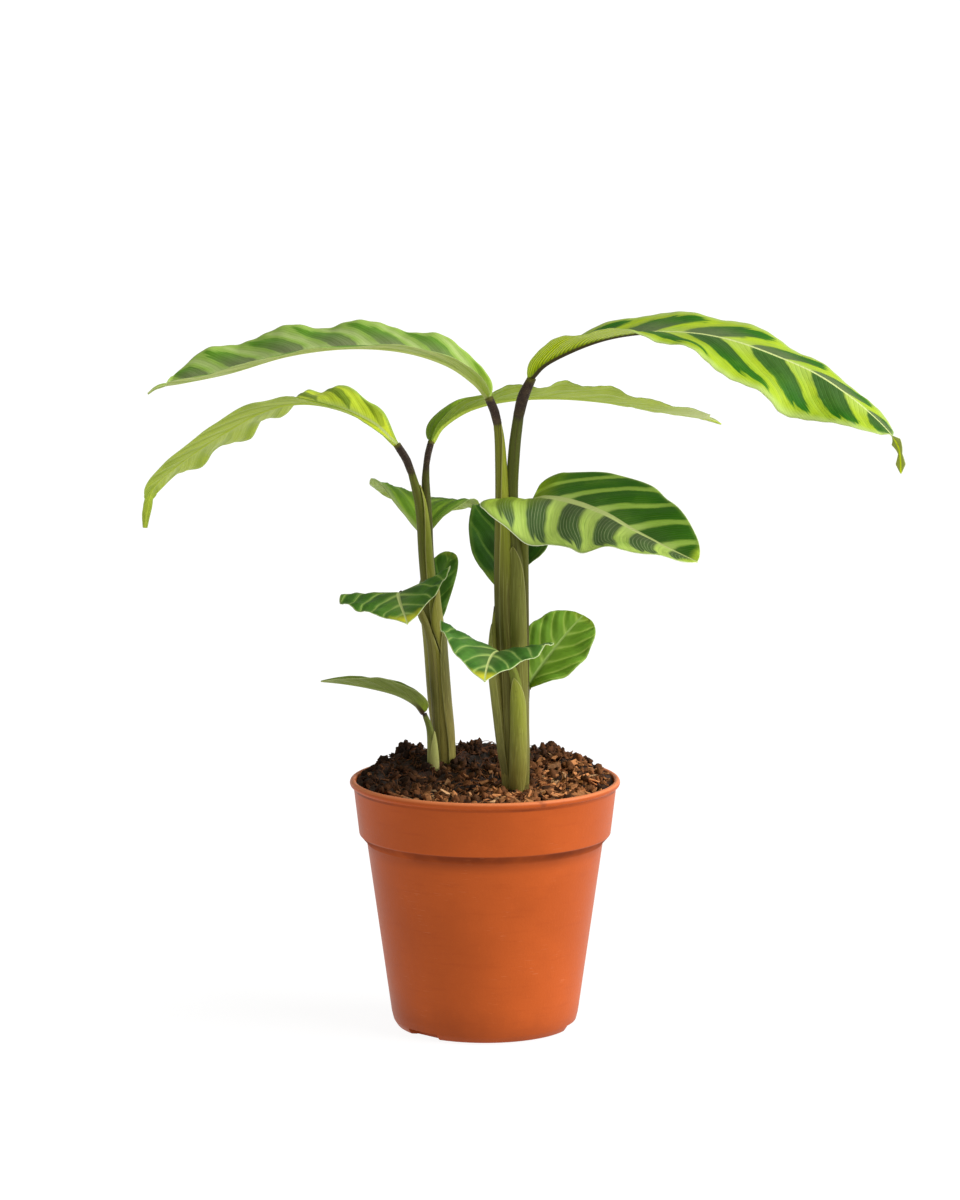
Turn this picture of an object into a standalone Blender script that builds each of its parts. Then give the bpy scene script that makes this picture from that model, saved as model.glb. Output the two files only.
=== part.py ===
"""A potted zebra calathea: nursery pot, potting mix, two clumps of stalks, a young shoot, twelve blades.

The script works in metres, with +Z up and the front at -Y. The tables of places and sizes are in
millimetres, and MM turns them into metres. The origin is the centre of the pot's flat underside.
"""
import math
import random

import bmesh
import bpy
import numpy as np
from mathutils import Vector, noise

MM = 0.001
CONTACT_GAP = 0.3
SEED = 11

RIM_RADIUS = 60.0
POT_HEIGHT = 111.8
BASE_RADIUS = 35.4
POT_WALL = 1.3
POT_FLOOR = 1.6
POT_SIDES = 48
BEAD_HEIGHT = 3.0
COLLAR_TOP_RADIUS = 58.3
COLLAR_LOW_RADIUS = 55.8
COLLAR_LOW_Z = 87.5
BODY_TOP_RADIUS = 52.4
BODY_TOP_Z = 83.6
BODY_LOW_RADIUS = 41.6
BODY_LOW_Z = 7.0
SLOT_ANGLES = (-134, -14, 106)
SLOT_WIDTH = 17.5
SLOT_HEIGHT = 3.5
SLOT_DEPTH = 9.0

SOIL_EDGE_Z = 108.0
SOIL_BACK_RISE = 9.0
SOIL_CROWN_RISE = 1.2
SOIL_ROUGHNESS = 1.1
SOIL_RINGS = 9
SOIL_SIDES = 40
SLOPE_FRONT_Y = -25.0
SLOPE_LENGTH = 65.0
EDGE_FALL = 9.0
LUMP_COUNT = 26
CHIP_COUNT = 24
LUMP_REACH = 49.0
LUMP_SIZES = (1.8, 3.4)
CHIP_SIZES = (2.6, 4.6)
STANDING_LUMPS = ((-35, 34, 117.6, 5.4), (-5, 34, 118.0, 5.6), (29, 38, 117.0, 5.2))

HOLE_GAP = 0.35
HOLE_TOP_Z = 140.0
CROWN_FOOT_Z = 92.0
CROWN_SIDES = 20
HOLE_SIDES = 24
TUBE_SPACING = 9.0
TUBE_RESOLUTION = 2

BLADE_THICKNESS = 0.7
BLADE_ROWS_PER_MM = 0.17
BLADE_HALF_COLUMNS = 4
BASE_HALF_WIDTH = 1.7
TIP_HALF_WIDTH = 0.9
LOBE_SHARE = 0.35

COLOURS = {
    "terracotta": ((0.55, 0.14, 0.05), 0.55),
    "soil": ((0.06, 0.028, 0.015), 0.95),
    "stalk": ((0.16, 0.18, 0.05), 0.5),
    "pulvinus": ((0.06, 0.04, 0.04), 0.5),
    "blade": ((0.14, 0.33, 0.05), 0.45),
}

# Each stalk is its centre line as (x, y, z, radius), from the soil upward.
CLUMP_RIGHT = {
    "crown": (13.5, -18.0, 6.4),
    "upper_left": [(11.5, -16.2, 98, 3.0), (10.6, -16.4, 114, 2.9), (9.0, -17.5, 157, 2.9),
                   (7.3, -18.0, 185, 3.0), (7.1, -18.0, 211, 3.2), (6.9, -18.5, 238, 2.5),
                   (6.3, -19.0, 262, 2.1), (5.4, -19.0, 272, 1.8)],
    "upper_right": [(14.5, -19.5, 98, 3.6), (15.6, -19.5, 112, 3.7), (14.8, -19.5, 157, 3.5),
                    (13.9, -19.0, 185, 3.8), (13.4, -19.0, 211, 3.5), (11.8, -19.0, 238, 2.7),
                    (12.7, -19.5, 260, 2.6), (14.6, -20.0, 276, 2.3)],
    "front_right": [(17.0, -19.0, 100, 2.4), (17.4, -18.0, 160, 2.0), (17.2, -18.0, 205, 1.9),
                    (17.4, -20.5, 222, 1.7), (20.0, -23.2, 238.2, 1.5)],
    "front_low": [(13.6, -20.9, 98, 3.2), (14.2, -21.0, 114, 3.2), (14.6, -21.9, 124, 3.2),
                  (14.4, -22.6, 150, 2.8), (12.4, -23.6, 163, 2.0), (8.2, -24.4, 170.6, 1.5)],
    "back_left": [(10.5, -16.0, 100, 2.6), (8.2, -15.0, 150, 2.4), (9.2, -12.5, 185, 1.8),
                  (9.6, -10.8, 195.5, 1.5)],
    "back_right": [(16.0, -16.0, 100, 2.4), (17.2, -14.8, 140, 2.0), (18.2, -13.2, 153.5, 1.5)],
    "sheath_left": [(10.4, -17.8, 100, 2.2), (9.7, -17.9, 114, 2.2), (6.6, -18.0, 140, 2.2),
                    (3.9, -18.0, 165, 2.2), (3.8, -18.0, 178, 1.5), (4.4, -18.0, 191, 0.6)],
}
CLUMP_LEFT = {
    "crown": (-19.6, 20.0, 5.0),
    "lower_left": [(-20.0, 19.5, 98, 3.2), (-19.2, 19.5, 123, 3.3), (-21.6, 19.5, 151, 2.9),
                   (-23.4, 19.5, 170, 2.8), (-26.8, 19.5, 206, 2.6), (-28.0, 19.5, 224, 2.4),
                   (-29.4, 19.0, 234, 2.2), (-32.6, 18.4, 246, 1.6)],
    "back_right": [(-19.2, 20.5, 98, 3.2), (-18.2, 20.5, 123, 3.3), (-20.3, 20.5, 151, 2.9),
                   (-22.2, 20.5, 170, 2.8), (-25.0, 20.5, 206, 2.5), (-25.6, 20.5, 226, 2.2),
                   (-26.3, 20.5, 241, 1.8), (-26.0, 20.5, 249, 1.4)],
    "front": [(-20.4, 18.0, 100, 2.4), (-20.8, 17.6, 120, 2.3), (-22.4, 15.6, 150, 2.0),
              (-25.0, 14.0, 174, 1.7), (-31.4, 9.0, 189.4, 1.5), (-37.1, 4.8, 193.6, 1.4)],
    "behind": [(-20.0, 22.0, 100, 2.3), (-20.3, 22.3, 120, 2.2), (-23.0, 23.6, 150, 1.9),
               (-24.2, 25.0, 172.0, 1.5)],
    "back_high": [(-20.6, 22.0, 100, 2.4), (-21.0, 22.0, 120, 2.4), (-24.0, 22.4, 165, 2.1),
                  (-26.6, 22.8, 200, 1.8), (-27.0, 25.2, 215.1, 1.5)],
}
SHOOT = {
    "crown": (-23.4, 10.8, 2.4),
    "shoot": [(-23.4, 10.8, 98, 2.3), (-23.5, 10.8, 118, 2.2), (-24.4, 10.8, 131, 1.6),
              (-26.8, 10.6, 138.4, 1.1)],
}
PULVINI = {
    "pulvinus_upper_left": [(5.3, -19.0, 272.3, 1.9), (4.0, -19.0, 277.5, 2.0), (1.9, -18.8, 282.4, 1.9)],
    "pulvinus_upper_right": [(14.7, -20.0, 276.3, 2.4), (16.6, -20.4, 284.0, 2.5),
                             (19.9, -21.2, 291.3, 2.3)],
    "pulvinus_lower_left": [(-32.75, 18.4, 246.3, 1.7), (-35.0, 18.2, 252.0, 1.8),
                            (-38.5, 18.2, 257.6, 1.7)],
    "pulvinus_back_right": [(-25.95, 20.5, 249.3, 1.4), (-25.2, 20.6, 254.0, 1.5),
                            (-24.0, 21.0, 258.6, 1.5)],
}


def mm(*values):
    """A point given in millimetres."""
    return Vector(values) * MM


def clear_scene():
    for obj in list(bpy.data.objects):
        bpy.data.objects.remove(obj, do_unlink=True)
    for mesh in list(bpy.data.meshes):
        bpy.data.meshes.remove(mesh)


def material(name):
    colour, roughness = COLOURS[name]
    mat = bpy.data.materials.get(name) or bpy.data.materials.new(name)
    mat.use_nodes = True
    shader = mat.node_tree.nodes["Principled BSDF"]
    shader.inputs["Base Color"].default_value = (*colour, 1.0)
    shader.inputs["Roughness"].default_value = roughness
    shader.inputs["Metallic"].default_value = 0.0
    return mat


def add_object(name, data, collection, material_name=None):
    obj = bpy.data.objects.new(name, data)
    collection.objects.link(obj)
    if material_name:
        obj.data.materials.append(material(material_name))
    return obj


def apply_modifiers(obj):
    """Replace the object's mesh by its evaluated mesh."""
    evaluated = obj.evaluated_get(bpy.context.evaluated_depsgraph_get())
    mesh = bpy.data.meshes.new_from_object(evaluated)
    obj.modifiers.clear()
    obj.data = mesh


def boolean(obj, operation, cutter=None, collection=None):
    mod = obj.modifiers.new(operation.lower(), "BOOLEAN")
    mod.operation = operation
    mod.solver = "EXACT"
    if collection:
        mod.operand_type = "COLLECTION"
        mod.collection = collection
    else:
        mod.object = cutter


def remove_objects(collection):
    for obj in list(collection.objects):
        bpy.data.objects.remove(obj, do_unlink=True)


def smooth_path(points, steps=200):
    """A fine polyline through the given rows (any number of columns), by Catmull-Rom."""
    rows = np.array(points, float)
    rows = np.vstack([2 * rows[0] - rows[1], rows, 2 * rows[-1] - rows[-2]])
    t = (np.arange(steps) / steps)[:, None]
    pieces = []
    for a, b, c, d in zip(rows, rows[1:], rows[2:], rows[3:]):
        pieces.append(0.5 * (2 * b + (c - a) * t + (2 * a - 5 * b + 4 * c - d) * t ** 2
                             + (3 * b - a - 3 * c + d) * t ** 3))
    return np.vstack(pieces + [rows[-2:-1]])


def length_fractions(path):
    steps = np.linalg.norm(np.diff(path[:, :3], axis=0), axis=1)
    travelled = np.concatenate([[0.0], np.cumsum(steps)])
    return travelled / travelled[-1], travelled[-1]


def along(path, fractions):
    """Rows of the path at the given fractions of its length."""
    distance, _ = length_fractions(path)
    return np.stack([np.interp(fractions, distance, column) for column in path.T], axis=1)


def turned(name, profile, collection, sides):
    """A closed turned shape from (radius, z) points that start and end on the axis."""
    mesh = bpy.data.meshes.new(name)
    points = [mm(radius, 0, z) for radius, z in profile]
    edges = [(i, i + 1) for i in range(len(points) - 1)]
    mesh.from_pydata(points, edges, [])
    obj = add_object(name, mesh, collection)
    screw = obj.modifiers.new("turn", "SCREW")
    screw.axis = "Z"
    screw.steps = sides
    screw.render_steps = sides
    screw.use_merge_vertices = True
    screw.merge_threshold = 0.0001
    screw.use_smooth_shade = True
    return obj


def pot_outside():
    """(radius, z) from the rim's top down to the underside."""
    return [(RIM_RADIUS - 1.5, POT_HEIGHT), (RIM_RADIUS - 0.5, POT_HEIGHT - 0.5),
            (RIM_RADIUS, POT_HEIGHT - 1.5), (RIM_RADIUS - 0.4, POT_HEIGHT - BEAD_HEIGHT + 0.3),
            (COLLAR_TOP_RADIUS, POT_HEIGHT - BEAD_HEIGHT), (COLLAR_LOW_RADIUS, COLLAR_LOW_Z),
            (COLLAR_LOW_RADIUS - 0.5, COLLAR_LOW_Z - 0.6), (BODY_TOP_RADIUS, BODY_TOP_Z),
            (BODY_LOW_RADIUS, BODY_LOW_Z), (BODY_LOW_RADIUS - 0.9, BODY_LOW_Z - 3.6),
            (BODY_LOW_RADIUS - 2.6, BODY_LOW_Z - 6.2), (BASE_RADIUS, 0.0)]


def pot_inside():
    """(radius, z) from the floor's centre up to the rim's top."""
    return [(BASE_RADIUS, POT_FLOOR), (BODY_LOW_RADIUS - POT_WALL - 0.6, BODY_LOW_Z),
            (BODY_TOP_RADIUS - POT_WALL, BODY_TOP_Z + 0.6),
            (COLLAR_LOW_RADIUS - POT_WALL, COLLAR_LOW_Z + 0.9),
            (COLLAR_TOP_RADIUS - POT_WALL, POT_HEIGHT - BEAD_HEIGHT),
            (RIM_RADIUS - 2.6, POT_HEIGHT - 0.4)]


def build_pot(parts, cutters):
    inside = [(0.0, POT_FLOOR)] + pot_inside()
    pot = turned("pot", inside + pot_outside() + [(0.0, 0.0)], parts, POT_SIDES)
    pot.data.materials.append(material("terracotta"))
    for angle in SLOT_ANGLES:
        middle = BODY_LOW_RADIUS + 1.0 - SLOT_DEPTH / 2
        turn = math.radians(angle)
        bpy.ops.mesh.primitive_cube_add(size=1)
        cutter = bpy.context.object
        cutter.name = "drain_slot"
        cutter.dimensions = mm(SLOT_DEPTH, SLOT_WIDTH, 2 * SLOT_HEIGHT)
        cutter.location = mm(middle * math.cos(turn), middle * math.sin(turn), 0)
        cutter.rotation_euler = (0, 0, turn)
        hide_cutter(cutter, cutters)
        boolean(pot, "DIFFERENCE", cutter=cutter)
    return pot


def hide_cutter(cutter, cutters):
    for owner in list(cutter.users_collection):
        owner.objects.unlink(cutter)
    cutters.objects.link(cutter)
    cutter.hide_render = True
    cutter.display_type = "WIRE"


def soil_height(x, y):
    """Height of the potting mix in millimetres: low at the front rim, mounded at the back."""
    back = min(max((y - SLOPE_FRONT_Y) / SLOPE_LENGTH, 0), 1)
    edge = min(max((COLLAR_TOP_RADIUS - 2 - math.hypot(x, y)) / EDGE_FALL, 0), 1)
    rough = noise.noise(Vector((x, y, 3.0)) / 9) * SOIL_ROUGHNESS * 1.6
    rough += noise.noise(Vector((x, y, 9.0)) / 4) * SOIL_ROUGHNESS
    rise = SOIL_BACK_RISE * back * back * (3 - 2 * back)
    return SOIL_EDGE_Z + (rise + SOIL_CROWN_RISE + rough) * (0.45 + 0.55 * edge)


def soil_outline():
    """(radius, z) from the middle of the top out to the wall and down to the middle of the floor."""
    edge = pot_inside()[-2][0] - CONTACT_GAP
    rings = [(edge * i / SOIL_RINGS, SOIL_EDGE_Z) for i in range(SOIL_RINGS + 1)]
    wall = [(radius - CONTACT_GAP - 0.05, z) for radius, z in reversed(pot_inside()[1:-2])]
    floor_z = POT_FLOOR + CONTACT_GAP
    return rings + wall + [(BASE_RADIUS - 0.5, floor_z), (0.0, floor_z)]


def add_lump(rng, place, size, collection, chip):
    """One crumb of peat, or one flat chip of bark."""
    if chip:
        bpy.ops.mesh.primitive_cube_add(size=2)
    else:
        bpy.ops.mesh.primitive_ico_sphere_add(subdivisions=1, radius=1)
    lump = bpy.context.object
    lump.name = "lump"
    shape = (1.0, 0.55, 0.35) if chip else (1.0, 0.8, 0.75)
    lump.scale = Vector(shape) * size * MM
    lump.location = place
    lump.rotation_euler = [rng.uniform(0, math.tau) for _ in range(3)]
    if chip:
        lump.rotation_euler = (rng.uniform(-0.7, 0.7), rng.uniform(-0.7, 0.7), rng.uniform(0, math.tau))
    for owner in list(lump.users_collection):
        owner.objects.unlink(lump)
    collection.objects.link(lump)


def build_soil(parts, cutters):
    soil = turned("soil", soil_outline(), parts, SOIL_SIDES)
    soil.data.materials.append(material("soil"))
    apply_modifiers(soil)
    top = SOIL_EDGE_Z * MM - 1e-5
    for vertex in soil.data.vertices:
        if vertex.co.z > top:
            vertex.co.z = soil_height(vertex.co.x / MM, vertex.co.y / MM) * MM

    rng = random.Random(SEED)
    lumps = bpy.data.collections.new("lumps")
    bpy.context.scene.collection.children.link(lumps)
    for index in range(LUMP_COUNT + CHIP_COUNT):
        chip = index >= LUMP_COUNT
        radius = LUMP_REACH * math.sqrt(rng.random())
        angle = rng.uniform(0, math.tau)
        x, y = radius * math.cos(angle), radius * math.sin(angle)
        size = rng.uniform(*(CHIP_SIZES if chip else LUMP_SIZES))
        lift = 0.1 * size if chip else 0.25 * size
        add_lump(rng, mm(x, y, soil_height(x, y) + lift), size, lumps, chip)
    for x, y, z, size in STANDING_LUMPS:
        add_lump(rng, mm(x, y, z), size, lumps, False)
    boolean(soil, "UNION", collection=lumps)
    apply_modifiers(soil)
    remove_objects(lumps)
    bpy.data.collections.remove(lumps)

    for clump in (CLUMP_RIGHT, CLUMP_LEFT, SHOOT):
        x, y, radius = clump["crown"]
        foot = CROWN_FOOT_Z - HOLE_GAP
        depth = HOLE_TOP_Z - foot
        bpy.ops.mesh.primitive_cylinder_add(vertices=HOLE_SIDES, radius=(radius + HOLE_GAP) * MM,
                                            depth=depth * MM, location=mm(x, y, foot + depth / 2))
        cutter = bpy.context.object
        cutter.name = "stalk_hole"
        hide_cutter(cutter, cutters)
        boolean(soil, "DIFFERENCE", cutter=cutter)
    return soil


def tube(name, stations, collection, material_name, spacing=TUBE_SPACING):
    """A round stalk through (x, y, z, radius) stations, as a closed mesh."""
    path = smooth_path(stations)
    _, length = length_fractions(path)
    count = max(3, round(length / spacing) + 1)
    rows = along(path, np.linspace(0, 1, count))
    curve = bpy.data.curves.new(name, "CURVE")
    curve.dimensions = "3D"
    curve.bevel_depth = MM
    curve.bevel_resolution = TUBE_RESOLUTION
    curve.use_fill_caps = True
    spline = curve.splines.new("POLY")
    spline.points.add(count - 1)
    for point, (x, y, z, radius) in zip(spline.points, rows):
        point.co = (x * MM, y * MM, z * MM, 1)
        point.radius = radius
    carrier = bpy.data.objects.new(name + "_curve", curve)
    collection.objects.link(carrier)
    evaluated = carrier.evaluated_get(bpy.context.evaluated_depsgraph_get())
    mesh = bpy.data.meshes.new_from_object(evaluated)
    bpy.data.objects.remove(carrier, do_unlink=True)
    bm = bmesh.new()
    bm.from_mesh(mesh)
    bmesh.ops.remove_doubles(bm, verts=bm.verts, dist=1e-6)
    bm.to_mesh(mesh)
    bm.free()
    mesh.materials.clear()
    obj = add_object(name, mesh, collection, material_name)
    mesh.shade_smooth()
    mesh.set_sharp_from_angle(angle=math.radians(50))
    return obj


def build_clump(name, clump, parts):
    """All the stalks of one clump, joined to the crown that stands in the soil."""
    x, y, radius = clump["crown"]
    top = soil_height(x, y) + 1.0
    height = top - CROWN_FOOT_Z
    bpy.ops.mesh.primitive_cylinder_add(vertices=CROWN_SIDES, radius=radius * MM, depth=height * MM,
                                        location=mm(x, y, CROWN_FOOT_Z + height / 2))
    crown = bpy.context.object
    crown.name = name
    for owner in list(crown.users_collection):
        owner.objects.unlink(crown)
    parts.objects.link(crown)
    crown.data.materials.append(material("stalk"))
    stalks = bpy.data.collections.new(name + "_stalks")
    bpy.context.scene.collection.children.link(stalks)
    for stalk, stations in clump.items():
        if stalk != "crown":
            tube(stalk, stations, stalks, "stalk")
    boolean(crown, "UNION", collection=stalks)
    apply_modifiers(crown)
    remove_objects(stalks)
    bpy.data.collections.remove(stalks)
    return crown


# Each blade: heading is the compass angle from +X of base to tip, which sets the level across line;
# midrib holds (x, y, z) from base to tip; left and right are the half widths of the widest place;
# lifts and roll are degrees at even steps from base to tip; a positive lift raises that half's edge,
# a positive roll raises the right half; curl bends a half along its width; waves is
# (count, height in millimetres, phase in turns); swell is the outline's (base, tip) roundness, drip
# the share of the length taken by the narrow tip, and lobes how far each half reaches back.
LEAVES = {
    "blade_upper_left": dict(
        heading=168, left=23, right=27, swell=(0.42, 0.4), drip=0.05, lobes=(0, 0),
        midrib=[(1.5, -18.6, 283.2), (-4.5, -17.0, 290.0), (-17.0, -13.5, 297.8), (-36.0, -9.0, 302.9),
                (-60.0, -3.5, 303.6), (-86.0, 2.0, 299.6), (-112.0, 7.0, 291.4), (-133.0, 10.5, 286.6),
                (-143.5, 12.5, 284.6), (-148.6, 13.5, 281.4)],
        lift_left=(34, 22, 15, 13, 13, 14, 18), lift_right=(22, 16, 15, 18, 24, 34, 40),
        roll=(0, 0, 0), curl=(-4, 4), waves=(5.0, 1.7, 0.08)),
    "blade_lower_left": dict(
        heading=153, left=20, right=22, swell=(0.6, 0.6), drip=0.03, lobes=(0, 0),
        midrib=[(-39.0, 18.3, 258.3), (-50.0, 21.5, 267.6), (-65.0, 27.5, 273.6), (-82.0, 36.0, 275.0),
                (-99.0, 45.5, 270.2), (-118.0, 55.0, 258.8), (-137.0, 63.0, 245.0), (-150.0, 68.0, 233.0),
                (-153.5, 70.0, 222.0), (-154.5, 70.5, 214.0)],
        lift_left=(14, 12, 12, 8, 5, 6, 8), lift_right=(18, 28, 12, -6, -6, -4, 4),
        roll=(0, 0, 0), curl=(0, 0), waves=(5.6, 1.7, 0.4)),
    "blade_upper_right": dict(
        heading=-20, left=28, right=30, swell=(0.6, 0.5), drip=0.05, lobes=(0, 0),
        midrib=[(19.6, -21.3, 292.0), (27.5, -24.0, 299.7), (46.4, -31.0, 308.8), (64.0, -38.0, 313.2),
                (84.0, -45.0, 314.2), (104.0, -52.0, 311.8), (122.5, -59.0, 306.0), (140.0, -65.0, 298.8),
                (155.6, -71.0, 288.6), (168.5, -77.0, 277.2), (175.5, -80.5, 269.5), (176.5, -82.0, 261.5)],
        lift_left=(24, 17, 13, 7, -2, -4, 0), lift_right=(18, 16, 3, -12, -38, -14, -4),
        roll=(0, 0, 0), curl=(0, 0), waves=(6, 1.3, 0.2)),
    "blade_back_right": dict(
        heading=24, left=20, right=22, swell=(0.75, 0.5), drip=0.05, lobes=(0, 0),
        midrib=[(-23.6, 21.2, 259.2), (-18.5, 23.5, 266.5), (-6.0, 28.5, 273.5), (12.0, 36.5, 276.5),
                (34.0, 46.5, 276.0), (58.0, 57.0, 272.5), (82.0, 67.5, 267.0), (101.0, 76.0, 263.0),
                (107.5, 79.0, 260.5)],
        lift_left=(0, 0, 2, 3, 3, 5, 10), lift_right=(50, 34, 24, 22, 18, 22, 24),
        roll=(0, 0, 0), curl=(0, 0), waves=(5, 1.2, 0.7)),
    "blade_front_right": dict(
        heading=-38, left=27, right=26, swell=(0.2, 0.58), drip=0.0, lobes=(2, 25),
        midrib=[(20.4, -23.6, 239.0), (26.0, -26.5, 240.4), (35.1, -31.5, 240.2), (50.5, -42.0, 236.1),
                (63.5, -51.5, 229.8), (80.7, -64.0, 222.3), (90.2, -71.0, 218.6)],
        lift_left=(32, 22, 26, 30, 36, 40, 40), lift_right=(-8, -40, -36, -27, -8, 0, 0),
        roll=(0, 0, 0), curl=(-6, -6), waves=(4, 1.3, 0.35)),
    "blade_front_low": dict(
        heading=-97, left=24.5, right=28.5, swell=(0.2, 1.0), drip=0.0, lobes=(0, 0),
        midrib=[(7.4, -25.2, 171.6), (6.0, -33.0, 174.0), (3.4, -44.0, 174.4), (1.6, -56.0, 173.3),
                (0.4, -67.0, 171.0), (-0.2, -76.0, 168.0)],
        lift_left=(12, 12, 4, 2, 2), lift_right=(22, 23, 22, 14, 5),
        roll=(0, 0, 0), curl=(-4, 4), waves=(3.5, 1.2, 0.15)),
    "blade_front": dict(
        heading=-84, left=26, right=26, swell=(0.2, 1.0), drip=0.0, lobes=(0, 0),
        midrib=[(-37.6, 3.9, 194.4), (-38.2, -2.0, 194.2), (-37.4, -12.0, 192.6), (-36.0, -25.0, 191.0),
                (-34.6, -37.0, 189.6), (-33.6, -45.0, 188.0)],
        lift_left=(22, 29, 26, 22, 10), lift_right=(-2, 0, 1, 0, 0),
        roll=(0, 0, 0), curl=(4, -6), waves=(3.5, 1.1, 0.6)),
    "blade_behind": dict(
        heading=96, left=9.5, right=8, swell=(0.5, 0.45), drip=0.0, lobes=(0, 0),
        midrib=[(-24.3, 25.6, 173.0), (-23.8, 29.0, 180.0), (-21.4, 33.0, 191.0), (-17.4, 38.0, 201.0),
                (-14.4, 43.0, 206.5)],
        lift_left=(30, 8, 0, 0, 6), lift_right=(30, 8, 4, 2, 6),
        roll=(0, 0, 0), curl=(0, 0), waves=(3, 0.9, 0.2)),
    "blade_back_high": dict(
        heading=86, left=29, right=24, swell=(0.85, 0.6), drip=0.03, lobes=(0, 0),
        midrib=[(-26.9, 25.8, 216.0), (-26.6, 30.0, 221.5), (-26.0, 38.0, 228.0), (-25.0, 49.0, 230.5),
                (-23.6, 62.0, 229.0), (-22.0, 76.0, 224.5), (-21.0, 86.0, 219.0)],
        lift_left=(40, 26, 14, 8, 6), lift_right=(40, 10, -8, -10, 0),
        roll=(0, 0, 0), curl=(0, 0), waves=(4, 1.3, 0.5)),
    "blade_back_left": dict(
        heading=90, left=16.5, right=20, swell=(0.42, 0.6), drip=0.03, lobes=(0, -8),
        midrib=[(9.7, -10.2, 196.4), (9.6, -6.5, 203.5), (9.4, 0.0, 215.0), (9.2, 9.0, 224.5),
                (9.2, 22.0, 229.5), (9.4, 36.0, 228.0), (9.8, 47.0, 223.0)],
        lift_left=(45, 12, 4, 4, 6), lift_right=(60, 14, 6, 4, 6),
        roll=(0, 0, 0), curl=(0, 0), waves=(4, 1.2, 0.8)),
    "blade_low_right": dict(
        heading=84, left=15, right=14.5, swell=(0.45, 0.4), drip=0.0, lobes=(0, 0),
        midrib=[(18.7, -12.8, 154.4), (22.5, -10.5, 160.5), (29.5, -6.5, 169.5), (37.0, -1.5, 178.0),
                (43.5, 4.5, 184.0)],
        lift_left=(40, 14, 6, 4, 4), lift_right=(60, 22, 8, 4, 4),
        roll=(0, 0, 0), curl=(0, 0), waves=(3.5, 1.0, 0.3)),
    "blade_shoot": dict(
        heading=180, left=9, right=8, swell=(0.45, 0.7), drip=0.0, lobes=(0, 0),
        midrib=[(-27.1, 10.6, 139.2), (-31.0, 10.8, 143.6), (-39.0, 11.4, 147.6), (-50.0, 12.0, 150.2),
                (-62.0, 12.6, 152.0), (-73.0, 13.0, 153.0)],
        lift_left=(60, 44, 40, 34, 20), lift_right=(60, 30, 30, 26, 20),
        roll=(0, 0, 0), curl=(0, 0), waves=(2, 0.5, 0.3)),
}


def keyed(values, fractions):
    """Values given at even steps, read smoothly at the fractions."""
    rows = smooth_path([(value,) for value in values])[:, 0]
    return np.interp(fractions, np.linspace(0, 1, len(rows)), rows)


def outline(fractions, swell, drip):
    """Share of the full half width along the blade: rounded base, drawn-out tip."""
    base, tip = swell
    widest = base / (base + tip)
    full = widest ** base * (1 - widest) ** tip
    s = np.minimum(fractions / (1 - drip), 1)
    return s ** base * (1 - s) ** tip / full


def blade_points(leaf, rows, half_columns):
    """Grid of points on the blade's middle surface, from left edge to right edge."""
    even = np.linspace(0, 1, rows + 1)
    s = 0.55 * even + 0.45 * (0.5 - 0.5 * np.cos(math.pi * even))
    path = smooth_path(leaf["midrib"])
    centre = along(path, s)
    tangent = along(path, np.clip(s + 0.004, 0, 1)) - along(path, np.clip(s - 0.004, 0, 1))
    tangent /= np.linalg.norm(tangent, axis=1)[:, None]
    heading = math.radians(leaf["heading"])
    level = np.array([math.sin(heading), -math.cos(heading), 0.0])
    across = level - tangent * (tangent @ level)[:, None]
    across /= np.linalg.norm(across, axis=1)[:, None]
    normal = np.cross(across, tangent)
    roll = np.radians(keyed(leaf["roll"], s))[:, None]
    across, normal = (across * np.cos(roll) + normal * np.sin(roll),
                      normal * np.cos(roll) - across * np.sin(roll))
    ends = BASE_HALF_WIDTH + (TIP_HALF_WIDTH - BASE_HALF_WIDTH) * s
    count, height, phase = leaf["waves"]
    grid = np.empty((rows + 1, 2 * half_columns + 1, 3))
    for side, key, curl, lobe, shift in ((-1, "left", leaf["curl"][0], leaf["lobes"][0], 0.0),
                                         (1, "right", leaf["curl"][1], leaf["lobes"][1], 0.37)):
        width = np.sqrt((leaf[key] * outline(s, leaf["swell"], leaf["drip"])) ** 2 + ends ** 2)
        lift = np.radians(keyed(leaf["lift_" + key], s))
        ripple = np.sin(math.tau * (count * s + phase + shift))
        ripple += 0.2 * np.sin(math.tau * (1.7 * count * s + 2.3 * phase + shift))
        fade = np.minimum(width / leaf[key], 1) * np.clip(width / 6, 0, 1)
        back = lobe * np.clip(1 - s / LOBE_SHARE, 0, 1) ** 1.5 * np.minimum(width / leaf[key], 1)
        for column in range(half_columns + 1):
            v = column / half_columns
            angle = lift + 0.5 * math.radians(curl) * v
            out = width * v * np.cos(angle)
            up = width * v * np.sin(angle) + height * ripple * fade * v * v
            place = half_columns + side * column
            grid[:, place] = (centre + across * (side * out)[:, None] + normal * up[:, None]
                              - tangent * (back * v ** 1.3)[:, None])
    return grid * MM


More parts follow.
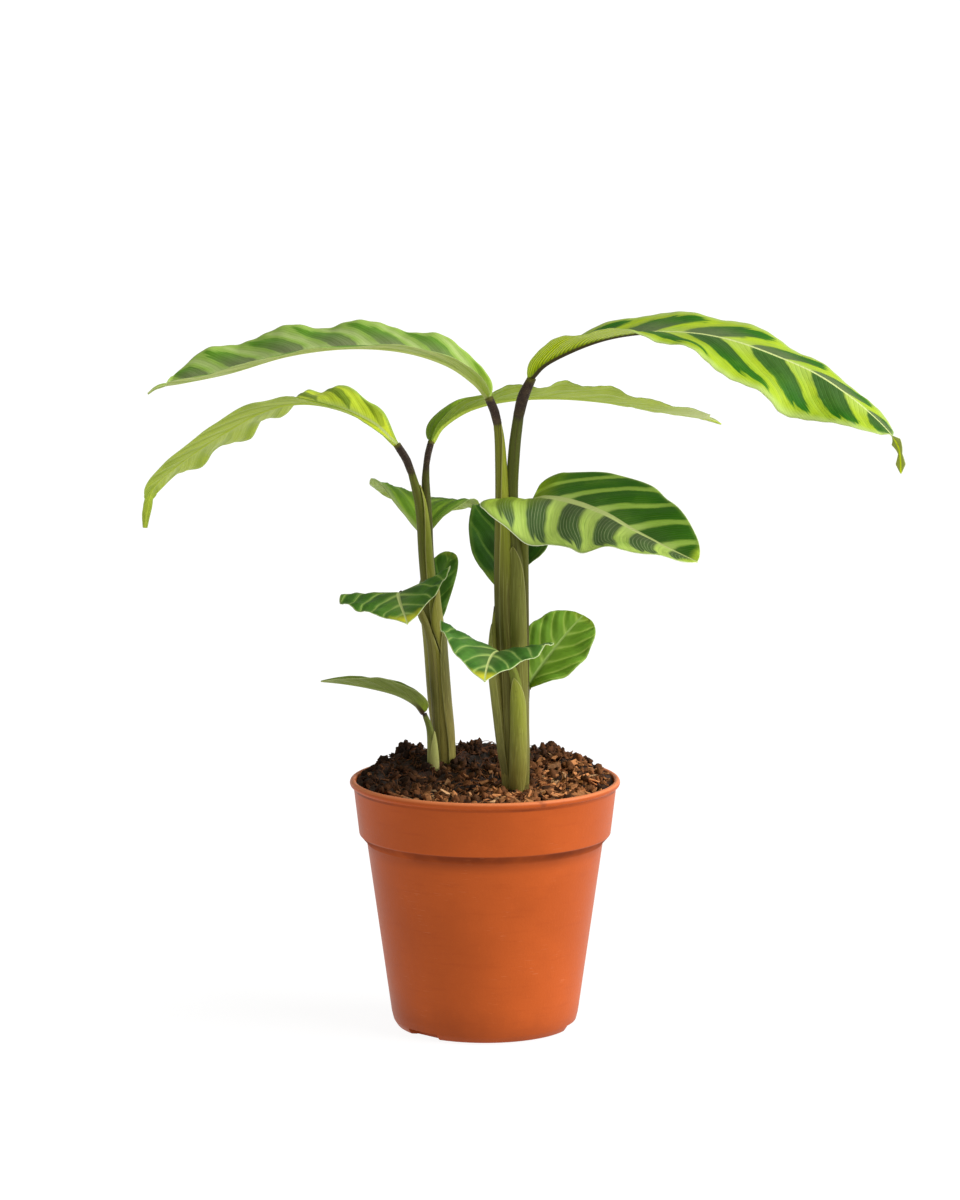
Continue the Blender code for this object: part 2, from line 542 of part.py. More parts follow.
def build_blade(name, leaf, parts):
    _, length = length_fractions(smooth_path(leaf["midrib"]))
    rows = max(9, round(length * BLADE_ROWS_PER_MM))
    grid = blade_points(leaf, rows, BLADE_HALF_COLUMNS)
    columns = grid.shape[1]
    bm = bmesh.new()
    verts = [[bm.verts.new(point) for point in line] for line in grid]
    for i in range(rows):
        for j in range(columns - 1):
            a, b = verts[i][j], verts[i][j + 1]
            c, d = verts[i + 1][j + 1], verts[i + 1][j]
            if j < BLADE_HALF_COLUMNS:
                bm.faces.new((a, b, d))
                bm.faces.new((b, c, d))
            else:
                bm.faces.new((a, b, c))
                bm.faces.new((a, c, d))
    mesh = bpy.data.meshes.new(name)
    bm.to_mesh(mesh)
    bm.free()
    blade = add_object(name, mesh, parts, "blade")
    mesh.shade_smooth()
    shell = blade.modifiers.new("thickness", "SOLIDIFY")
    shell.thickness = BLADE_THICKNESS * MM
    shell.offset = 0.0
    return blade


def main():
    clear_scene()
    parts = bpy.data.collections.new("potted_calathea")
    cutters = bpy.data.collections.new("cutters")
    bpy.context.scene.collection.children.link(parts)
    bpy.context.scene.collection.children.link(cutters)
    build_pot(parts, cutters)
    build_soil(parts, cutters)
    build_clump("stalks_right", CLUMP_RIGHT, parts)
    build_clump("stalks_left", CLUMP_LEFT, parts)
    build_clump("shoot_stalk", SHOOT, parts)
    for name, stations in PULVINI.items():
        tube(name, stations, parts, "pulvinus", spacing=3.0)
    for name, leaf in LEAVES.items():
        build_blade(name, leaf, parts)


main()
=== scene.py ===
"""Looks of the potted zebra calathea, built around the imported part.

Tables of places and sizes are in millimetres and repeat the part's own values; MM turns them into
metres. Colours are screen colours in hexadecimal, and srgb() turns them into shader values.
"""
import math
import random

import bmesh
import bpy
import numpy as np
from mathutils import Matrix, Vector, noise


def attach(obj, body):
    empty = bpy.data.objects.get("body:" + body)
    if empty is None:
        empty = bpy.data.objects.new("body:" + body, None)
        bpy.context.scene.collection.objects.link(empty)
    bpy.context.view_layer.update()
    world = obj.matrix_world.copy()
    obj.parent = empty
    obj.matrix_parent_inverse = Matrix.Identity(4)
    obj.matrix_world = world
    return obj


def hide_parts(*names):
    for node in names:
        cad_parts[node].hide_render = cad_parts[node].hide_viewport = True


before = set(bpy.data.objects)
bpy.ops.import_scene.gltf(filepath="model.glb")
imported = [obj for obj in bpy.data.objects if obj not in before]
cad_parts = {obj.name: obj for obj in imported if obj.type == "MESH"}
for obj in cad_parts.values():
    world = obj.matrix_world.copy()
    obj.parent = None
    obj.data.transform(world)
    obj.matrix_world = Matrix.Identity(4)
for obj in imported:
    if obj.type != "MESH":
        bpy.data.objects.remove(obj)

MM = 0.001
SEED = 11

RIM_RADIUS = 60.0
POT_HEIGHT = 111.8
BASE_RADIUS = 35.4
POT_WALL = 1.3
POT_FLOOR = 1.6
BEAD_HEIGHT = 3.0
COLLAR_TOP_RADIUS = 58.3
COLLAR_LOW_RADIUS = 55.8
COLLAR_LOW_Z = 87.5
BODY_TOP_RADIUS = 52.4
BODY_TOP_Z = 83.6
BODY_LOW_RADIUS = 41.6
BODY_LOW_Z = 7.0
SLOT_ANGLES = (-134, -14, 106)
SLOT_WIDTH = 17.5
SLOT_HEIGHT = 3.5
SLOT_DEPTH = 9.0
POT_SIDES = 192
POT_SHARP_ANGLE = 50
CORNER_RADIUS = 0.7
CORNER_STEPS = 5

SOIL_EDGE_Z = 108.0
SOIL_BACK_RISE = 9.0
SOIL_CROWN_RISE = 1.2
SOIL_ROUGHNESS = 1.1
SOIL_SINK = 0.6
# Noise over the mix, as rows of (seed, size, height).
BROAD_LUMPS = ((3, 9, 1.6), (9, 4, 1))
FINE_LUMPS = ((5, 1.9, 0.9), (7, 0.9, 0.45))
RIDGED_LUMPS = ((1, 5.5, 1.6),)
SLOPE_FRONT_Y = -25.0
SLOPE_LENGTH = 65.0
EDGE_FALL = 9.0
EDGE_RISE_SHARE = 0.45
SOIL_RINGS = 80
SOIL_SIDES = 220
RING_CROWDING = 0.85
SOIL_CLEARANCE = 0.05
WALL_CLEARANCE = 0.35

# Towards the front right, as the shares of x and y; the mix is lighter and coarser there.
FRONT_SIDE = (0.6, -0.8)
# Each standing lump is (x, y, z, spread), made of LUMP_CRUMBS crumbs.
STANDING_LUMPS = ((-35, 34, 117.6, 5.4), (-5, 34, 118.0, 5.6), (29, 38, 117.0, 5.2))
LUMP_CRUMBS = 14
LUMP_CRUMB_SIZES = (1.4, 3.0)
LUMP_FILL = 0.62
LUMP_FLATNESS = 0.8
# Sizes are (least, spread, power), and most pieces are near the least.
CRUMB_SIZES = (0.6, 2.1, 2.2)
BACK_CHIP_SIZES = (0.9, 2.6, 1.9)
FRONT_CHIP_SIZES = (0.9, 3.8, 1.9)
CRUMB_COUNT = 1100
CRUMB_REACH = 55.0
CRUMB_BUMPS = 1.7
CRUMB_BUMP_SHARE = 0.95
CHIP_COUNT = 1100
CHIP_REACH = 54.5
CHIP_KINDS = 24
CHIP_CORNERS = 11
CHIP_BOX = (1.0, 0.38, 0.24)
# This share of the chips at the back left goes to the front right, a little nearer the middle.
MOVED_CHIP_SHARE = 0.5
MOVED_CHIP_REACH = 0.9
CHIP_TILT = 0.75
CHIP_SHARP_ANGLE = 25
FIBRE_COUNT = 260
FIBRE_START_REACH = 50.0
FIBRE_REACH = 56.0
FIBRE_LENGTHS = (4, 15)
FIBRE_LIFT = 0.45
FIBRE_ARCH = 0.9
FIBRE_BEND = 0.12
FIBRE_WANDER = 0.15
FIBRE_STEPS = 8
FIBRE_SIDES = 5
FIBRE_RADIUS = 0.16
FIBRE_TAPER = 0.6

STALK_STEP = 1.2
STALK_SIDES = 32
STALK_RIDGES = 9
RIDGE_SHARE = 0.022
JOINT_STEP = 0.4
JOINT_RIDGES = 11
JOINT_RIDGE_SHARE = 0.015
SHEATH_STEP = 0.8
SHEATH_THICKNESS = 0.35
SHEATH_COLUMNS = 26
SHEATH_GAP = 0.08
SHEATH_SUNK = 0.2
SHEATH_EMERGE = 0.15
EDGE_FLARE = 0.14
HAIR_COUNT = 1500
HAIR_RADIUS = 0.03
HAIR_LENGTHS = (0.4, 0.8)
HAIR_LEAN = 0.25
HAIRY_END = 5
HAIRY_STALKS = (("stalks_right", "upper_left"), ("stalks_right", "upper_right"),
                ("stalks_left", "lower_left"), ("stalks_left", "back_right"))

BLADE_THICKNESS = 0.4
BLADE_ROW_STEP = 0.9
BLADE_HALF_COLUMNS = 24
COLUMN_CROWDING = 1.35
END_CROWDING = 0.45
LOBE_SHARE = 0.35
LOBE_POWER = 1.5
RIGHT_SHIFT = 0.37
EDGE_THINNING = 0.6
# A blade's waves are a sum of rows: a share, then what its count, phase and shift are multiplied
# by. The share of the fine waves is the blade's frill.
COARSE_WAVES = ((1, 1, 1, 1), (0.2, 1.7, 2.3, 1))
FINE_WAVES = (4.3, 3.1, 2)
QUILT_HEIGHT = 0.32
PLEAT_HEIGHT = 0.13
KEEL_BASE = 1.25
KEEL_TIP = 0.15
GROOVE_DEPTH = 0.28

CAMERA_PLACE = (-2.2, -2100.0, 511.4)
CAMERA_PITCH = 8.66
CAMERA_LENS = 144.54
CAMERA_REACH = 100
SKY_STRENGTH = 0.3
KEY_STRENGTH = 4.6
KEY_SOFTNESS = 60.0
KEY_DIRECTION = (1.5, -0.44, 0.95)
FLOOR_GLOW = 0.92
FLOOR_RADIUS = 15.0
FLOOR_SIDES = 96
WALL_HEIGHT = 2.5

# Each stalk is its centre line as (x, y, z, radius), from the soil upward.
CLUMPS = {
    "stalks_right": {
        "upper_left": [(11.5, -16.2, 98, 3), (10.6, -16.4, 114, 2.9), (9, -17.5, 157, 2.9),
                       (7.3, -18, 185, 3), (7.1, -18, 211, 3.2), (6.9, -18.5, 238, 2.5),
                       (6.3, -19, 262, 2.1), (5.4, -19, 272, 1.8)],
        "upper_right": [(14.5, -19.5, 98, 3.6), (15.6, -19.5, 112, 3.7), (14.8, -19.5, 157, 3.5),
                        (13.9, -19, 185, 3.8), (13.4, -19, 211, 3.5), (11.8, -19, 238, 2.7),
                        (12.7, -19.5, 260, 2.6), (14.6, -20, 276, 2.3)],
        "front_right": [(17, -19, 100, 2.4), (17.4, -18, 160, 2), (17.2, -18, 205, 1.9),
                        (17.4, -20.5, 222, 1.7), (20, -23.2, 238.2, 1.5)],
        "front_low": [(13.6, -20.9, 98, 3.2), (14.2, -21, 114, 3.2), (14.6, -21.9, 124, 3.2),
                      (14.4, -22.6, 150, 2.8), (12.4, -23.6, 163, 2), (8.2, -24.4, 170.6, 1.5)],
        "back_left": [(10.5, -16, 100, 2.6), (8.2, -15, 150, 2.4), (9.2, -12.5, 185, 1.8),
                      (9.6, -10.8, 195.5, 1.5)],
        "back_right": [(16, -16, 100, 2.4), (17.2, -14.8, 140, 2), (18.2, -13.2, 153.5, 1.5)],
        "sheath_left": [(10.4, -17.8, 100, 2.2), (9.7, -17.9, 114, 2.2), (6.6, -18, 140, 2.2),
                        (3.9, -18, 165, 2.2), (3.8, -18, 178, 1.5), (4.4, -18, 191, 0.6)]},
    "stalks_left": {
        "lower_left": [(-20, 19.5, 98, 3.2), (-19.2, 19.5, 123, 3.3), (-21.6, 19.5, 151, 2.9),
                       (-23.4, 19.5, 170, 2.8), (-26.8, 19.5, 206, 2.6), (-28, 19.5, 224, 2.4),
                       (-29.4, 19, 234, 2.2), (-32.6, 18.4, 246, 1.6)],
        "back_right": [(-19.2, 20.5, 98, 3.2), (-18.2, 20.5, 123, 3.3), (-20.3, 20.5, 151, 2.9),
                       (-22.2, 20.5, 170, 2.8), (-25, 20.5, 206, 2.5), (-25.6, 20.5, 226, 2.2),
                       (-26.3, 20.5, 241, 1.8), (-26, 20.5, 249, 1.4)],
        "front": [(-20.4, 18, 100, 2.4), (-20.8, 17.6, 120, 2.3), (-22.4, 15.6, 150, 2),
                  (-25, 14, 174, 1.7), (-31.4, 9, 189.4, 1.5), (-37.1, 4.8, 193.6, 1.4)],
        "behind": [(-20, 22, 100, 2.3), (-20.3, 22.3, 120, 2.2), (-23, 23.6, 150, 1.9),
                   (-24.2, 25, 172, 1.5)],
        "back_high": [(-20.6, 22, 100, 2.4), (-21, 22, 120, 2.4), (-24, 22.4, 165, 2.1),
                      (-26.6, 22.8, 200, 1.8), (-27, 25.2, 215.1, 1.5)]},
    "shoot_stalk": {
        "shoot": [(-23.4, 10.8, 98, 2.3), (-23.5, 10.8, 118, 2.2), (-24.4, 10.8, 131, 1.6),
                  (-26.8, 10.6, 138.4, 1.1)]},
}
PULVINI = {
    "upper_left": [(5.3, -19, 272.3, 1.9), (4, -19, 277.5, 2), (1.9, -18.8, 282.4, 1.9)],
    "upper_right": [(14.7, -20, 276.3, 2.4), (16.6, -20.4, 284, 2.5), (19.9, -21.2, 291.3, 2)],
    "lower_left": [(-32.75, 18.4, 246.3, 1.7), (-35, 18.2, 252, 1.8), (-38.5, 18.2, 257.6, 1.7)],
    "back_right": [(-25.95, 20.5, 249.3, 1.4), (-25.2, 20.6, 254, 1.5), (-24, 21, 258.6, 1.5)],
}
# Each blade: heading is the compass angle from +X of base to tip, which sets the level across
# line; midrib holds (x, y, z) from base to tip; left and right are the half widths at the widest
# place; lifts are degrees at even steps from base to tip, and a positive one raises that half's
# edge; curl bends a half across its width; waves is (count, height, phase in turns); swell is the
# outline's (base, tip) roundness; drip is the share of the length taken by the narrow tip; lobes
# say how far each half reaches back beside the stalk, over lobe_end of the length; stem and tail
# are half widths of the plain strip under the outline; twist turns the blade about its midrib;
# calm scales each half's waves and frill their finest part. PLAIN_LEAF holds what a blade doesn't
# say itself.
PLAIN_LEAF = dict(
    lobes=(0, 0), lobe_end=LOBE_SHARE, curl=(0, 0), drip=0, stem=1.7,
    tail=((0.9, 1), (1, 0.4)), twist=((0, 0), (1, 0)), calm=(1, 1), frill=0.12)
LEAVES = {
    "upper_left": dict(
        heading=168, left=23, right=27, swell=(0.42, 0.43), drip=0.06, swell_right=(0.52, 0.43),
        midrib=[(1.5, -18.6, 283.2), (-4.5, -17, 290), (-17, -13.5, 297.8), (-36, -9, 302.9),
                (-60, -3.5, 303.6), (-86, 2, 299.6), (-112, 7, 291.4), (-133, 10.5, 286.6),
                (-143.5, 12.5, 284.6), (-148.6, 13.5, 281.4)],
        lift_left=(34, 21, 10, 7, 8, 11, 16), lift_right=(22, 16, 15, 18, 24, 32, 24),
        tail=((0.88, 1.9), (0.95, 1.3), (1, 0.5)), twist=((0.93, 0), (0.96, 50), (1, 50)),
        calm=(0.3, 1), curl=(-4, 4), waves=(4.68, 1.7, 0.955)),
    "lower_left": dict(
        heading=153, left=20, right=22, swell=(0.6, 0.6), drip=0.085, swell_right=(0.8, 0.6),
        frill=0.03,
        midrib=[(-39, 18.3, 258.3), (-50, 21.5, 267.6), (-65, 27.5, 273.6), (-82, 36, 275),
                (-99, 45.5, 270.2), (-118, 55, 258.8), (-137, 63, 245), (-150, 68, 233),
                (-153.5, 70, 222), (-154.5, 70.5, 214)], lift_left=(14, 12, 12, 8, 5, 6, 8),
        lift_right=(18, 28, 12, -6, -6, -4, 4),
        tail=((0.86, 1.8), (0.91, 2.3), (0.96, 2), (1, 1.1)),
        twist=((0.9, 0), (0.93, -40), (1, -55)),
        calm=((0.3, 0.5, 0.1, 0.1, 0.1), (1.1, 1, 1.3, 1.3, 1)), waves=(6.64, 1.7, 0.318)),
    "upper_right": dict(
        heading=-20, left=28, right=30, swell=(0.6, 0.5), drip=0.085, stem=2.3,
        midrib=[(19.6, -21.3, 292), (27.5, -24, 299.7), (46.4, -31, 308.8), (64, -38, 313.2),
                (84, -45, 314.2), (104, -52, 311.8), (122.5, -59, 306), (140, -65, 298.8),
                (155.6, -71, 288.6), (168.5, -77, 277.2), (174.5, -80.5, 269), (175.5, -82, 258)],
        lift_left=(24, 17, 13, 7, -2, -4, 0), lift_right=(27, 18.5, 9, -1, -13, -28, -40, -13, -4),
        tail=((0.86, 1.2), (0.915, 1.5), (0.93, 2.9), (0.957, 1.1), (0.98, 2.4), (1, 0.3)),
        twist=((0.905, 0), (0.93, 70), (1, 85)), calm=(0.6, 1.1), waves=(6, 1.3, 0.2)),
    "back_right": dict(
        heading=24, left=20, right=22, swell=(0.75, 0.5), drip=0.05, swell_left=(0.42, 0.5),
        midrib=[(-23.6, 21.2, 259.2), (-18.5, 23.5, 266.5), (-6, 28.5, 273.5), (12, 36.5, 276.5),
                (34, 46.5, 276), (58, 57, 272.5), (82, 67.5, 267), (101, 76, 263),
                (107.5, 79, 260.5)], lift_left=(10, 5, 2, 1, -2, -2, 6),
        lift_right=(50, 34, 24, 22, 13, 14, 22), calm=(0.2, (1.4, 1.4, 0.5, 0.5)),
        tail=((0.88, 1.6), (0.95, 1.9), (1, 0.3)), twist=((0.93, 0), (0.97, 40), (1, 60)),
        waves=(6.9, 1.2, 0.08)),
    "front_right": dict(
        heading=-38, left=28, right=26, swell=(0.2, 0.58), lobes=(2, 26), swell_left=(0.26, 0.6),
        lobe_end=0.45, frill=0.02,
        midrib=[(20.4, -23.6, 239), (26, -26.5, 240.4), (35.1, -31.5, 240.2), (50.5, -42, 236.1),
                (63.5, -51.5, 229.8), (80.7, -64, 222.3), (90.2, -71, 218.6)],
        lift_left=(32, 22, 26, 30, 36, 40, 40), lift_right=(24, -32, -36, -27, -8, 0, 0),
        calm=(0.35, (1.2, 1)), curl=(-6, -6), waves=(4, 1.3, 0.35)),
    "front_low": dict(
        heading=-97, left=24.5, right=28.5, swell=(0.2, 1),
        midrib=[(7.4, -25.2, 171.6), (6, -33, 174), (3.4, -44, 174.4), (1.6, -56, 173.3),
                (0.4, -67, 171), (-0.2, -76, 168)], lift_left=(12, 12, 4, 2, 2),
        lift_right=(22, 23, 22, 14, 5), curl=(-4, 4), waves=(3.5, 1.2, 0.15)),
    "front": dict(
        heading=-84, left=26, right=26, swell=(0.2, 1),
        midrib=[(-37.6, 3.9, 194.4), (-38.2, -2, 194.2), (-37.4, -12, 192.6), (-36, -25, 191),
                (-34.6, -37, 189.6), (-33.6, -45, 188)], lift_left=(22, 29, 26, 22, 10),
        lift_right=(-2, 0, 1, 0, 0), curl=(4, -6), waves=(3.5, 1.1, 0.6)),
    "behind": dict(
        heading=96, left=8.5, right=6.4, swell=(0.5, 0.45),
        midrib=[(-24.3, 25.6, 173), (-23.8, 29, 180), (-21.4, 33, 191), (-17.4, 38, 201),
                (-14.4, 43, 206.5)], lift_left=(30, 8, 0, 0, 6), lift_right=(30, 8, 4, 2, 6),
        waves=(3, 0.9, 0.2)),
    "back_high": dict(
        heading=86, left=29, right=24, swell=(0.85, 0.6), drip=0.03,
        midrib=[(-26.9, 25.8, 216), (-26.6, 30, 221.5), (-26, 38, 228), (-25, 49, 230.5),
                (-23.6, 62, 229), (-22, 76, 224.5), (-21, 86, 219)], lift_left=(40, 26, 14, 8, 6),
        lift_right=(40, 10, -8, -10, 0), calm=(0.4, 0.8), waves=(4, 1.3, 0.5)),
    "back_left": dict(
        heading=90, left=16.5, right=20, swell=(0.42, 0.6), drip=0.03, lobes=(0, -8),
        midrib=[(9.7, -10.2, 196.4), (9.6, -6.5, 203.5), (9.4, 0, 215), (9.2, 9, 224.5),
                (9.2, 22, 229.5), (9.4, 36, 228), (9.8, 47, 223)], lift_left=(45, 12, 4, 4, 6),
        lift_right=(60, 14, 6, 4, 6), waves=(4, 1.2, 0.8)),
    "low_right": dict(
        heading=84, left=15, right=14.5, swell=(0.45, 0.4),
        midrib=[(18.7, -12.8, 154.4), (22.5, -10.5, 160.5), (29.5, -6.5, 169.5), (37, -1.5, 178),
                (43.5, 4.5, 184)], lift_left=(40, 14, 6, 4, 4), lift_right=(60, 22, 8, 4, 4),
        waves=(3.5, 1, 0.3)),
    "shoot": dict(
        heading=180, left=9, right=8, swell=(0.45, 0.7),
        midrib=[(-27.1, 10.6, 139.2), (-31, 10.8, 143.6), (-39, 11.4, 147.6), (-50, 12, 150.2),
                (-62, 12.6, 152), (-73, 13, 153)], lift_left=(60, 44, 40, 34, 20),
        lift_right=(60, 30, 30, 26, 20), waves=(2, 0.5, 0.3)),
}
# A look's pairs are for the left and the right half, and one number stands for both.
PLAIN_LOOK = dict(
    bands=7, shift=0, sweep=((0.9, 0.8), (0.9, 0.8)), wander=0.3, start=0.85, rise=0.25,
    breadth=0.62, fade=0.75, fork=0.85, soft=0.08, contrast=1, veinlets=0.06, show_through=0.35,
    vein=0.1, pleats=6, pleat_share=0.3, light="#96ba20", mid="#68981a", dark="#2e600e",
    deep="#1e480c", painted_sheen="#5c7042", painted_sheen_reach=0.5, painted_sheen_share=0.5, painted_sheen_on_half=0, pale="#b6cc70",
    pale_share=0.6, veinlet="#a0be5a", margin="#9ebc54", pleat="#6c821e", under="#9eb440",
    under_dark="#7e982a", rib="#c4d084", rib_width=1.5, keel="#422e1a", keel_reach=0.05,
    base=("#a0ba1e", 0.14, 0.6), tip=("#a0a432", 0.9, 0.4), tip_reach=0.1, rim=2.6, rim_share=0.8,
    ragged=0.8, vein_from=0.78, mottle=0.15, edge="#c4cc92", edge_share=0.5, lobe_bands=0,
    painted_shade_on_half=0, vivid="#2e6e0a", vivid_share=0.3, under_far="#a8bc4a", far_share=0,
    keel_shade=0.15)
SMALL_FRONT = dict(
    bands=3.5, sweep=((1.1, 0.7), (1.1, 0.7)), start=0.95, fade=1.1, fork=0.2, soft=0.24,
    contrast=0.85, vein=0.6, vein_from=0.74, mottle=0.8, vivid_share=0, rib_width=1.1, rim=1,
    pale_share=0.5, edge="#d2dcb0", edge_share=0.85)
LOOKS = {
    "upper_left": dict(
        sweep=((0.9, 0.6), (0.5, 0.6)), light="#92b24e", mid="#6e982e", dark="#54821e",
        deep="#427018", painted_sheen="#767e58", painted_sheen_share=0.9, painted_sheen_reach=0.85, contrast=0.9,
        under="#b8c46a", under_dark="#98aa4c", show_through=0.7, fade=0.9,
        base=("#8ca21e", 0.16, 0.7), keel_reach=-0.12, breadth=(0.6, 0.52), pale="#baca84",
        vein=0.6, vein_from=0.6, vivid_share=0.6, vivid="#548c18"),
    "lower_left": dict(
        bands=10, shift=0.3, sweep=((0.8, 0.6), (0.7, 0.5)), light="#cede3e", mid="#bad430",
        dark="#628822", painted_sheen_share=0.1, contrast=0.75, start=0.05, rise=0.6,
        base=("#ced81e", 0.2, 0.75), under="#aabc3a", under_dark="#869c24", show_through=0.5,
        pleat_share=0.1, fade=1, keel_reach=-0.2, breadth=(0.5, 0.44), edge_share=0.25,
        vivid_share=0),
    # The underside's own yellow-green is brightened near the base as painted light shining through
    # the blade; farther out it turns to under_far.
    "upper_right": dict(
        bands=6.6, shift=0.19, sweep=((0.45, 0.5), (0.85, 0.75)), painted_sheen_share=(1, 0.25),
        painted_sheen_reach=0.7, keel_reach=0.5, keel="#3e3618", under="#c6d808", under_dark="#b2c804",
        pleats=13, pleat="#526602", pleat_share=0.95, base=("#96b20a", 0.1, 0.3), far_share=0.85,
        keel_shade=0.8, breadth=(0.68, 0.64), pale_share=0.35, show_through=0.1, light="#a4bc24",
        fade=0.84, vivid_share=0.9, vivid="#246804", tip=("#949c38", 0.905, 0.95), tip_reach=0.02,
        margin="#acc26c", rim=5.5, rim_share=(0.7, 0.85)),
    "back_right": dict(
        bands=8, under="#b2c448", under_dark="#96ae32", show_through=0.12, pleat_share=0.06,
        edge="#647230", edge_share=0.6, rim_share=0.3, keel_reach=-0.2,
        base=("#688418", 0.36, 0.95), tip=("#ccd496", 0.7, 0.7), tip_reach=0.25),
    # Its near, right half gets painted sheen over its bands, and its far, left half has its light
    # bands dulled as painted shade.
    "front_right": dict(
        bands=4.65, shift=0.74, sweep=((0.7, 0.5), (-0.2, 1)), painted_sheen_on_half=(0, 0.75), start=0.9,
        breadth=(0.74, 0.62), rise=0.2, painted_sheen="#52643e", veinlets=(0.08, 0.5), light="#bed868",
        fade=(1.15, 0.96), mid="#78a42e", rib_width=2, tip=("#bad43e", 0.93, 0.8), tip_reach=0.05,
        dark="#366a10", deep="#2a580e", soft=0.13, veinlet="#c4d098", margin="#9cb658",
        edge="#eef4cc", edge_share=0.9, rim=2.4, rim_share=(0.3, 0.8), painted_sheen_share=(0.25, 0.3),
        lobe_bands=1.2, painted_shade_on_half=(0.55, 0), ragged=0.35),
    "front_low": dict(
        **SMALL_FRONT,
        breadth=0.8, dark="#366820", mid="#568834", light="#6c9848", painted_sheen_share=0.3,
        tip=("#d6d236", 0.82, 0.95), tip_reach=0.12, deep="#265216"),
    "front": dict(
        **SMALL_FRONT,
        breadth=0.78, dark="#34641a", mid="#568828", light="#6c983c", painted_sheen_share=0.2,
        tip=("#cece32", 0.74, 0.9), tip_reach=0.16, deep="#244e10"),
    "behind": dict(
        bands=4, breadth=0.85, fade=1.1, contrast=0.6, light="#4e7622", mid="#3a621a",
        dark="#284e12", rim_share=0.2, painted_sheen_share=0.1, rib="#547828", edge_share=0.15,
        pale_share=0.2),
    "back_high": dict(
        bands=5, breadth=0.7, fade=1, contrast=0.55, soft=0.2, light="#88ae32", mid="#709826",
        dark="#42701a", rim_share=(0.8, 0.3), rim=5, margin="#b0c07c", painted_sheen_share=0.2,
        edge_share=0.2, pale_share=0.2),
    "back_left": dict(
        bands=4.6, breadth=0.8, fade=1.1, contrast=0.8, light="#426a1c", mid="#325a16",
        dark="#1e420c", deep="#16340a", rim_share=0.2, painted_sheen_share=0.1, rib="#56762a",
        edge_share=0.15, pale_share=0.2),
    "low_right": dict(
        bands=5, sweep=((0.7, 0.7), (0.7, 0.7)), breadth=0.8, fade=1.1, fork=0.2, soft=0.2,
        contrast=0.65, light="#8aac3a", mid="#749e22", dark="#528018", deep="#3c6812", vein=0.35,
        painted_sheen_share=0, rib="#96b25c", rib_width=1.1, pale_share=0.2, rim=1.4, rim_share=0.4,
        edge_share=0.2),
    "shoot": dict(
        bands=4, contrast=0.15, light="#869448", mid="#7a8a3c", dark="#627630", under="#8c9850",
        under_dark="#7a8a40", veinlets=0.05, rim_share=0.3, rib="#92a054", keel_reach=0,
        pale_share=0.1),
}
# What a stalk's look doesn't say is OLIVE; joint is the share of its length that is dark at the top.
OLIVE = dict(
    foot="#584e20", mid="#56541a", top="#606412", stripe="#463c16", joint=0.04)
STALK_LOOKS = {
    "stalks_right": {
        "upper_left": dict(foot="#72662e", mid="#5c581a", top="#727612", joint=0.008),
        "upper_right": dict(mid="#58581a", top="#4c540a", stripe="#3e3412", joint=0.02),
        "front_right": dict(mid="#464016", joint=0.03),
        "front_low": dict(foot="#70642c", mid="#767828", top="#6e781e"),
        "back_left": dict(mid="#463a18"),
        "back_right": dict(mid="#4a4818"),
        "sheath_left": dict(foot="#7a7032", mid="#969248", top="#9e9e4a", stripe="#6e642c")},
    "stalks_left": {
        "lower_left": dict(foot="#423a14", mid="#5c5c16", top="#5a6208", stripe="#604e1a",
                           joint=0.012),
        "back_right": dict(foot="#3e3414", mid="#504c16", top="#484e0c", stripe="#583818",
                           joint=0.03),
        "front": dict(foot="#4c441c", mid="#6c682a", top="#74702c", stripe="#604622"),
        "behind": dict(mid="#4a4a16"),
        "back_high": dict(mid="#54541a")},
    "shoot_stalk": {
        "shoot": dict(foot="#aca668", mid="#9a9c54", top="#6c7828", stripe="#6e6a32")},
}
# Each sheath wraps one stalk, or a path of its own, from a foot height to the height of its pointed
# ear. Facing is in degrees from the front towards +X at foot and ear, half is how far it reaches
# round to either side, and keel is how far its middle stands off. A higher sharp makes a blunter
# ear; turn is where low begins to change to high, and lines is the strength of the fine veins.
PLAIN_SHEATH = dict(sharp=5, turn=0.15, lines=0.35)
SHEATHS = {
    "ear_upper_left": dict(
        node="stalks_right", stalk="upper_left", foot=112, tip=272, facing=(34, 46), half=58,
        keel=2.3, turn=0.6, low="#5c581c", high="#a0a82e"),
    "ear_upper_right": dict(
        node="stalks_right", stalk="upper_right", foot=112, tip=219, facing=(4, -14), half=84,
        keel=0.3, sharp=9, low="#625e22", high="#6c6e26"),
    "ear_front_low": dict(
        node="stalks_right", stalk="front_low", foot=106, tip=162, facing=(10, -6), half=105,
        keel=0.6, low="#72682a", high="#868c2a"),
    "ear_left": dict(
        node="stalks_right", stalk="sheath_left", foot=116, tip=184, facing=(-60, -50), half=70,
        keel=0.2, low="#6c6832", high="#909242"),
    "ear_lower_left": dict(
        node="stalks_left", stalk="lower_left", foot=150, tip=240, facing=(60, 74), half=62,
        keel=1.2, turn=0.4, low="#606216", high="#8a922c"),
    "wrap_left": dict(
        node="stalks_left", facing=(20, -250), half=230, foot=109, tip=197, keel=0, lines=0.15,
        low="#867a3a", high="#84822e",
        path=[(-18.4, 19.8, 106, 4.1), (-18.8, 19.9, 126, 4.2), (-20.6, 19.9, 144, 4.5),
              (-22.6, 19.8, 171, 4.5), (-24.5, 19.9, 188, 4.4), (-25.6, 20, 200, 4.2)]),
    "ear_back_right": dict(
        node="stalks_left", foot=107, tip=177, facing=(84, 56), half=50, keel=0.2, turn=0.4,
        low="#7e7434", high="#5c5c22",
        path=[(-18.4, 19.8, 106, 4.7), (-18.8, 19.9, 126, 4.8), (-20.6, 19.9, 144, 5.1),
              (-22.6, 19.8, 171, 5.1), (-23.4, 19.8, 180, 5)]),
    "ear_shoot": dict(
        node="shoot_stalk", stalk="shoot", foot=106, tip=131, facing=(52, 66), half=80, keel=0.5,
        low="#aca668", high="#aaae5e"),
}


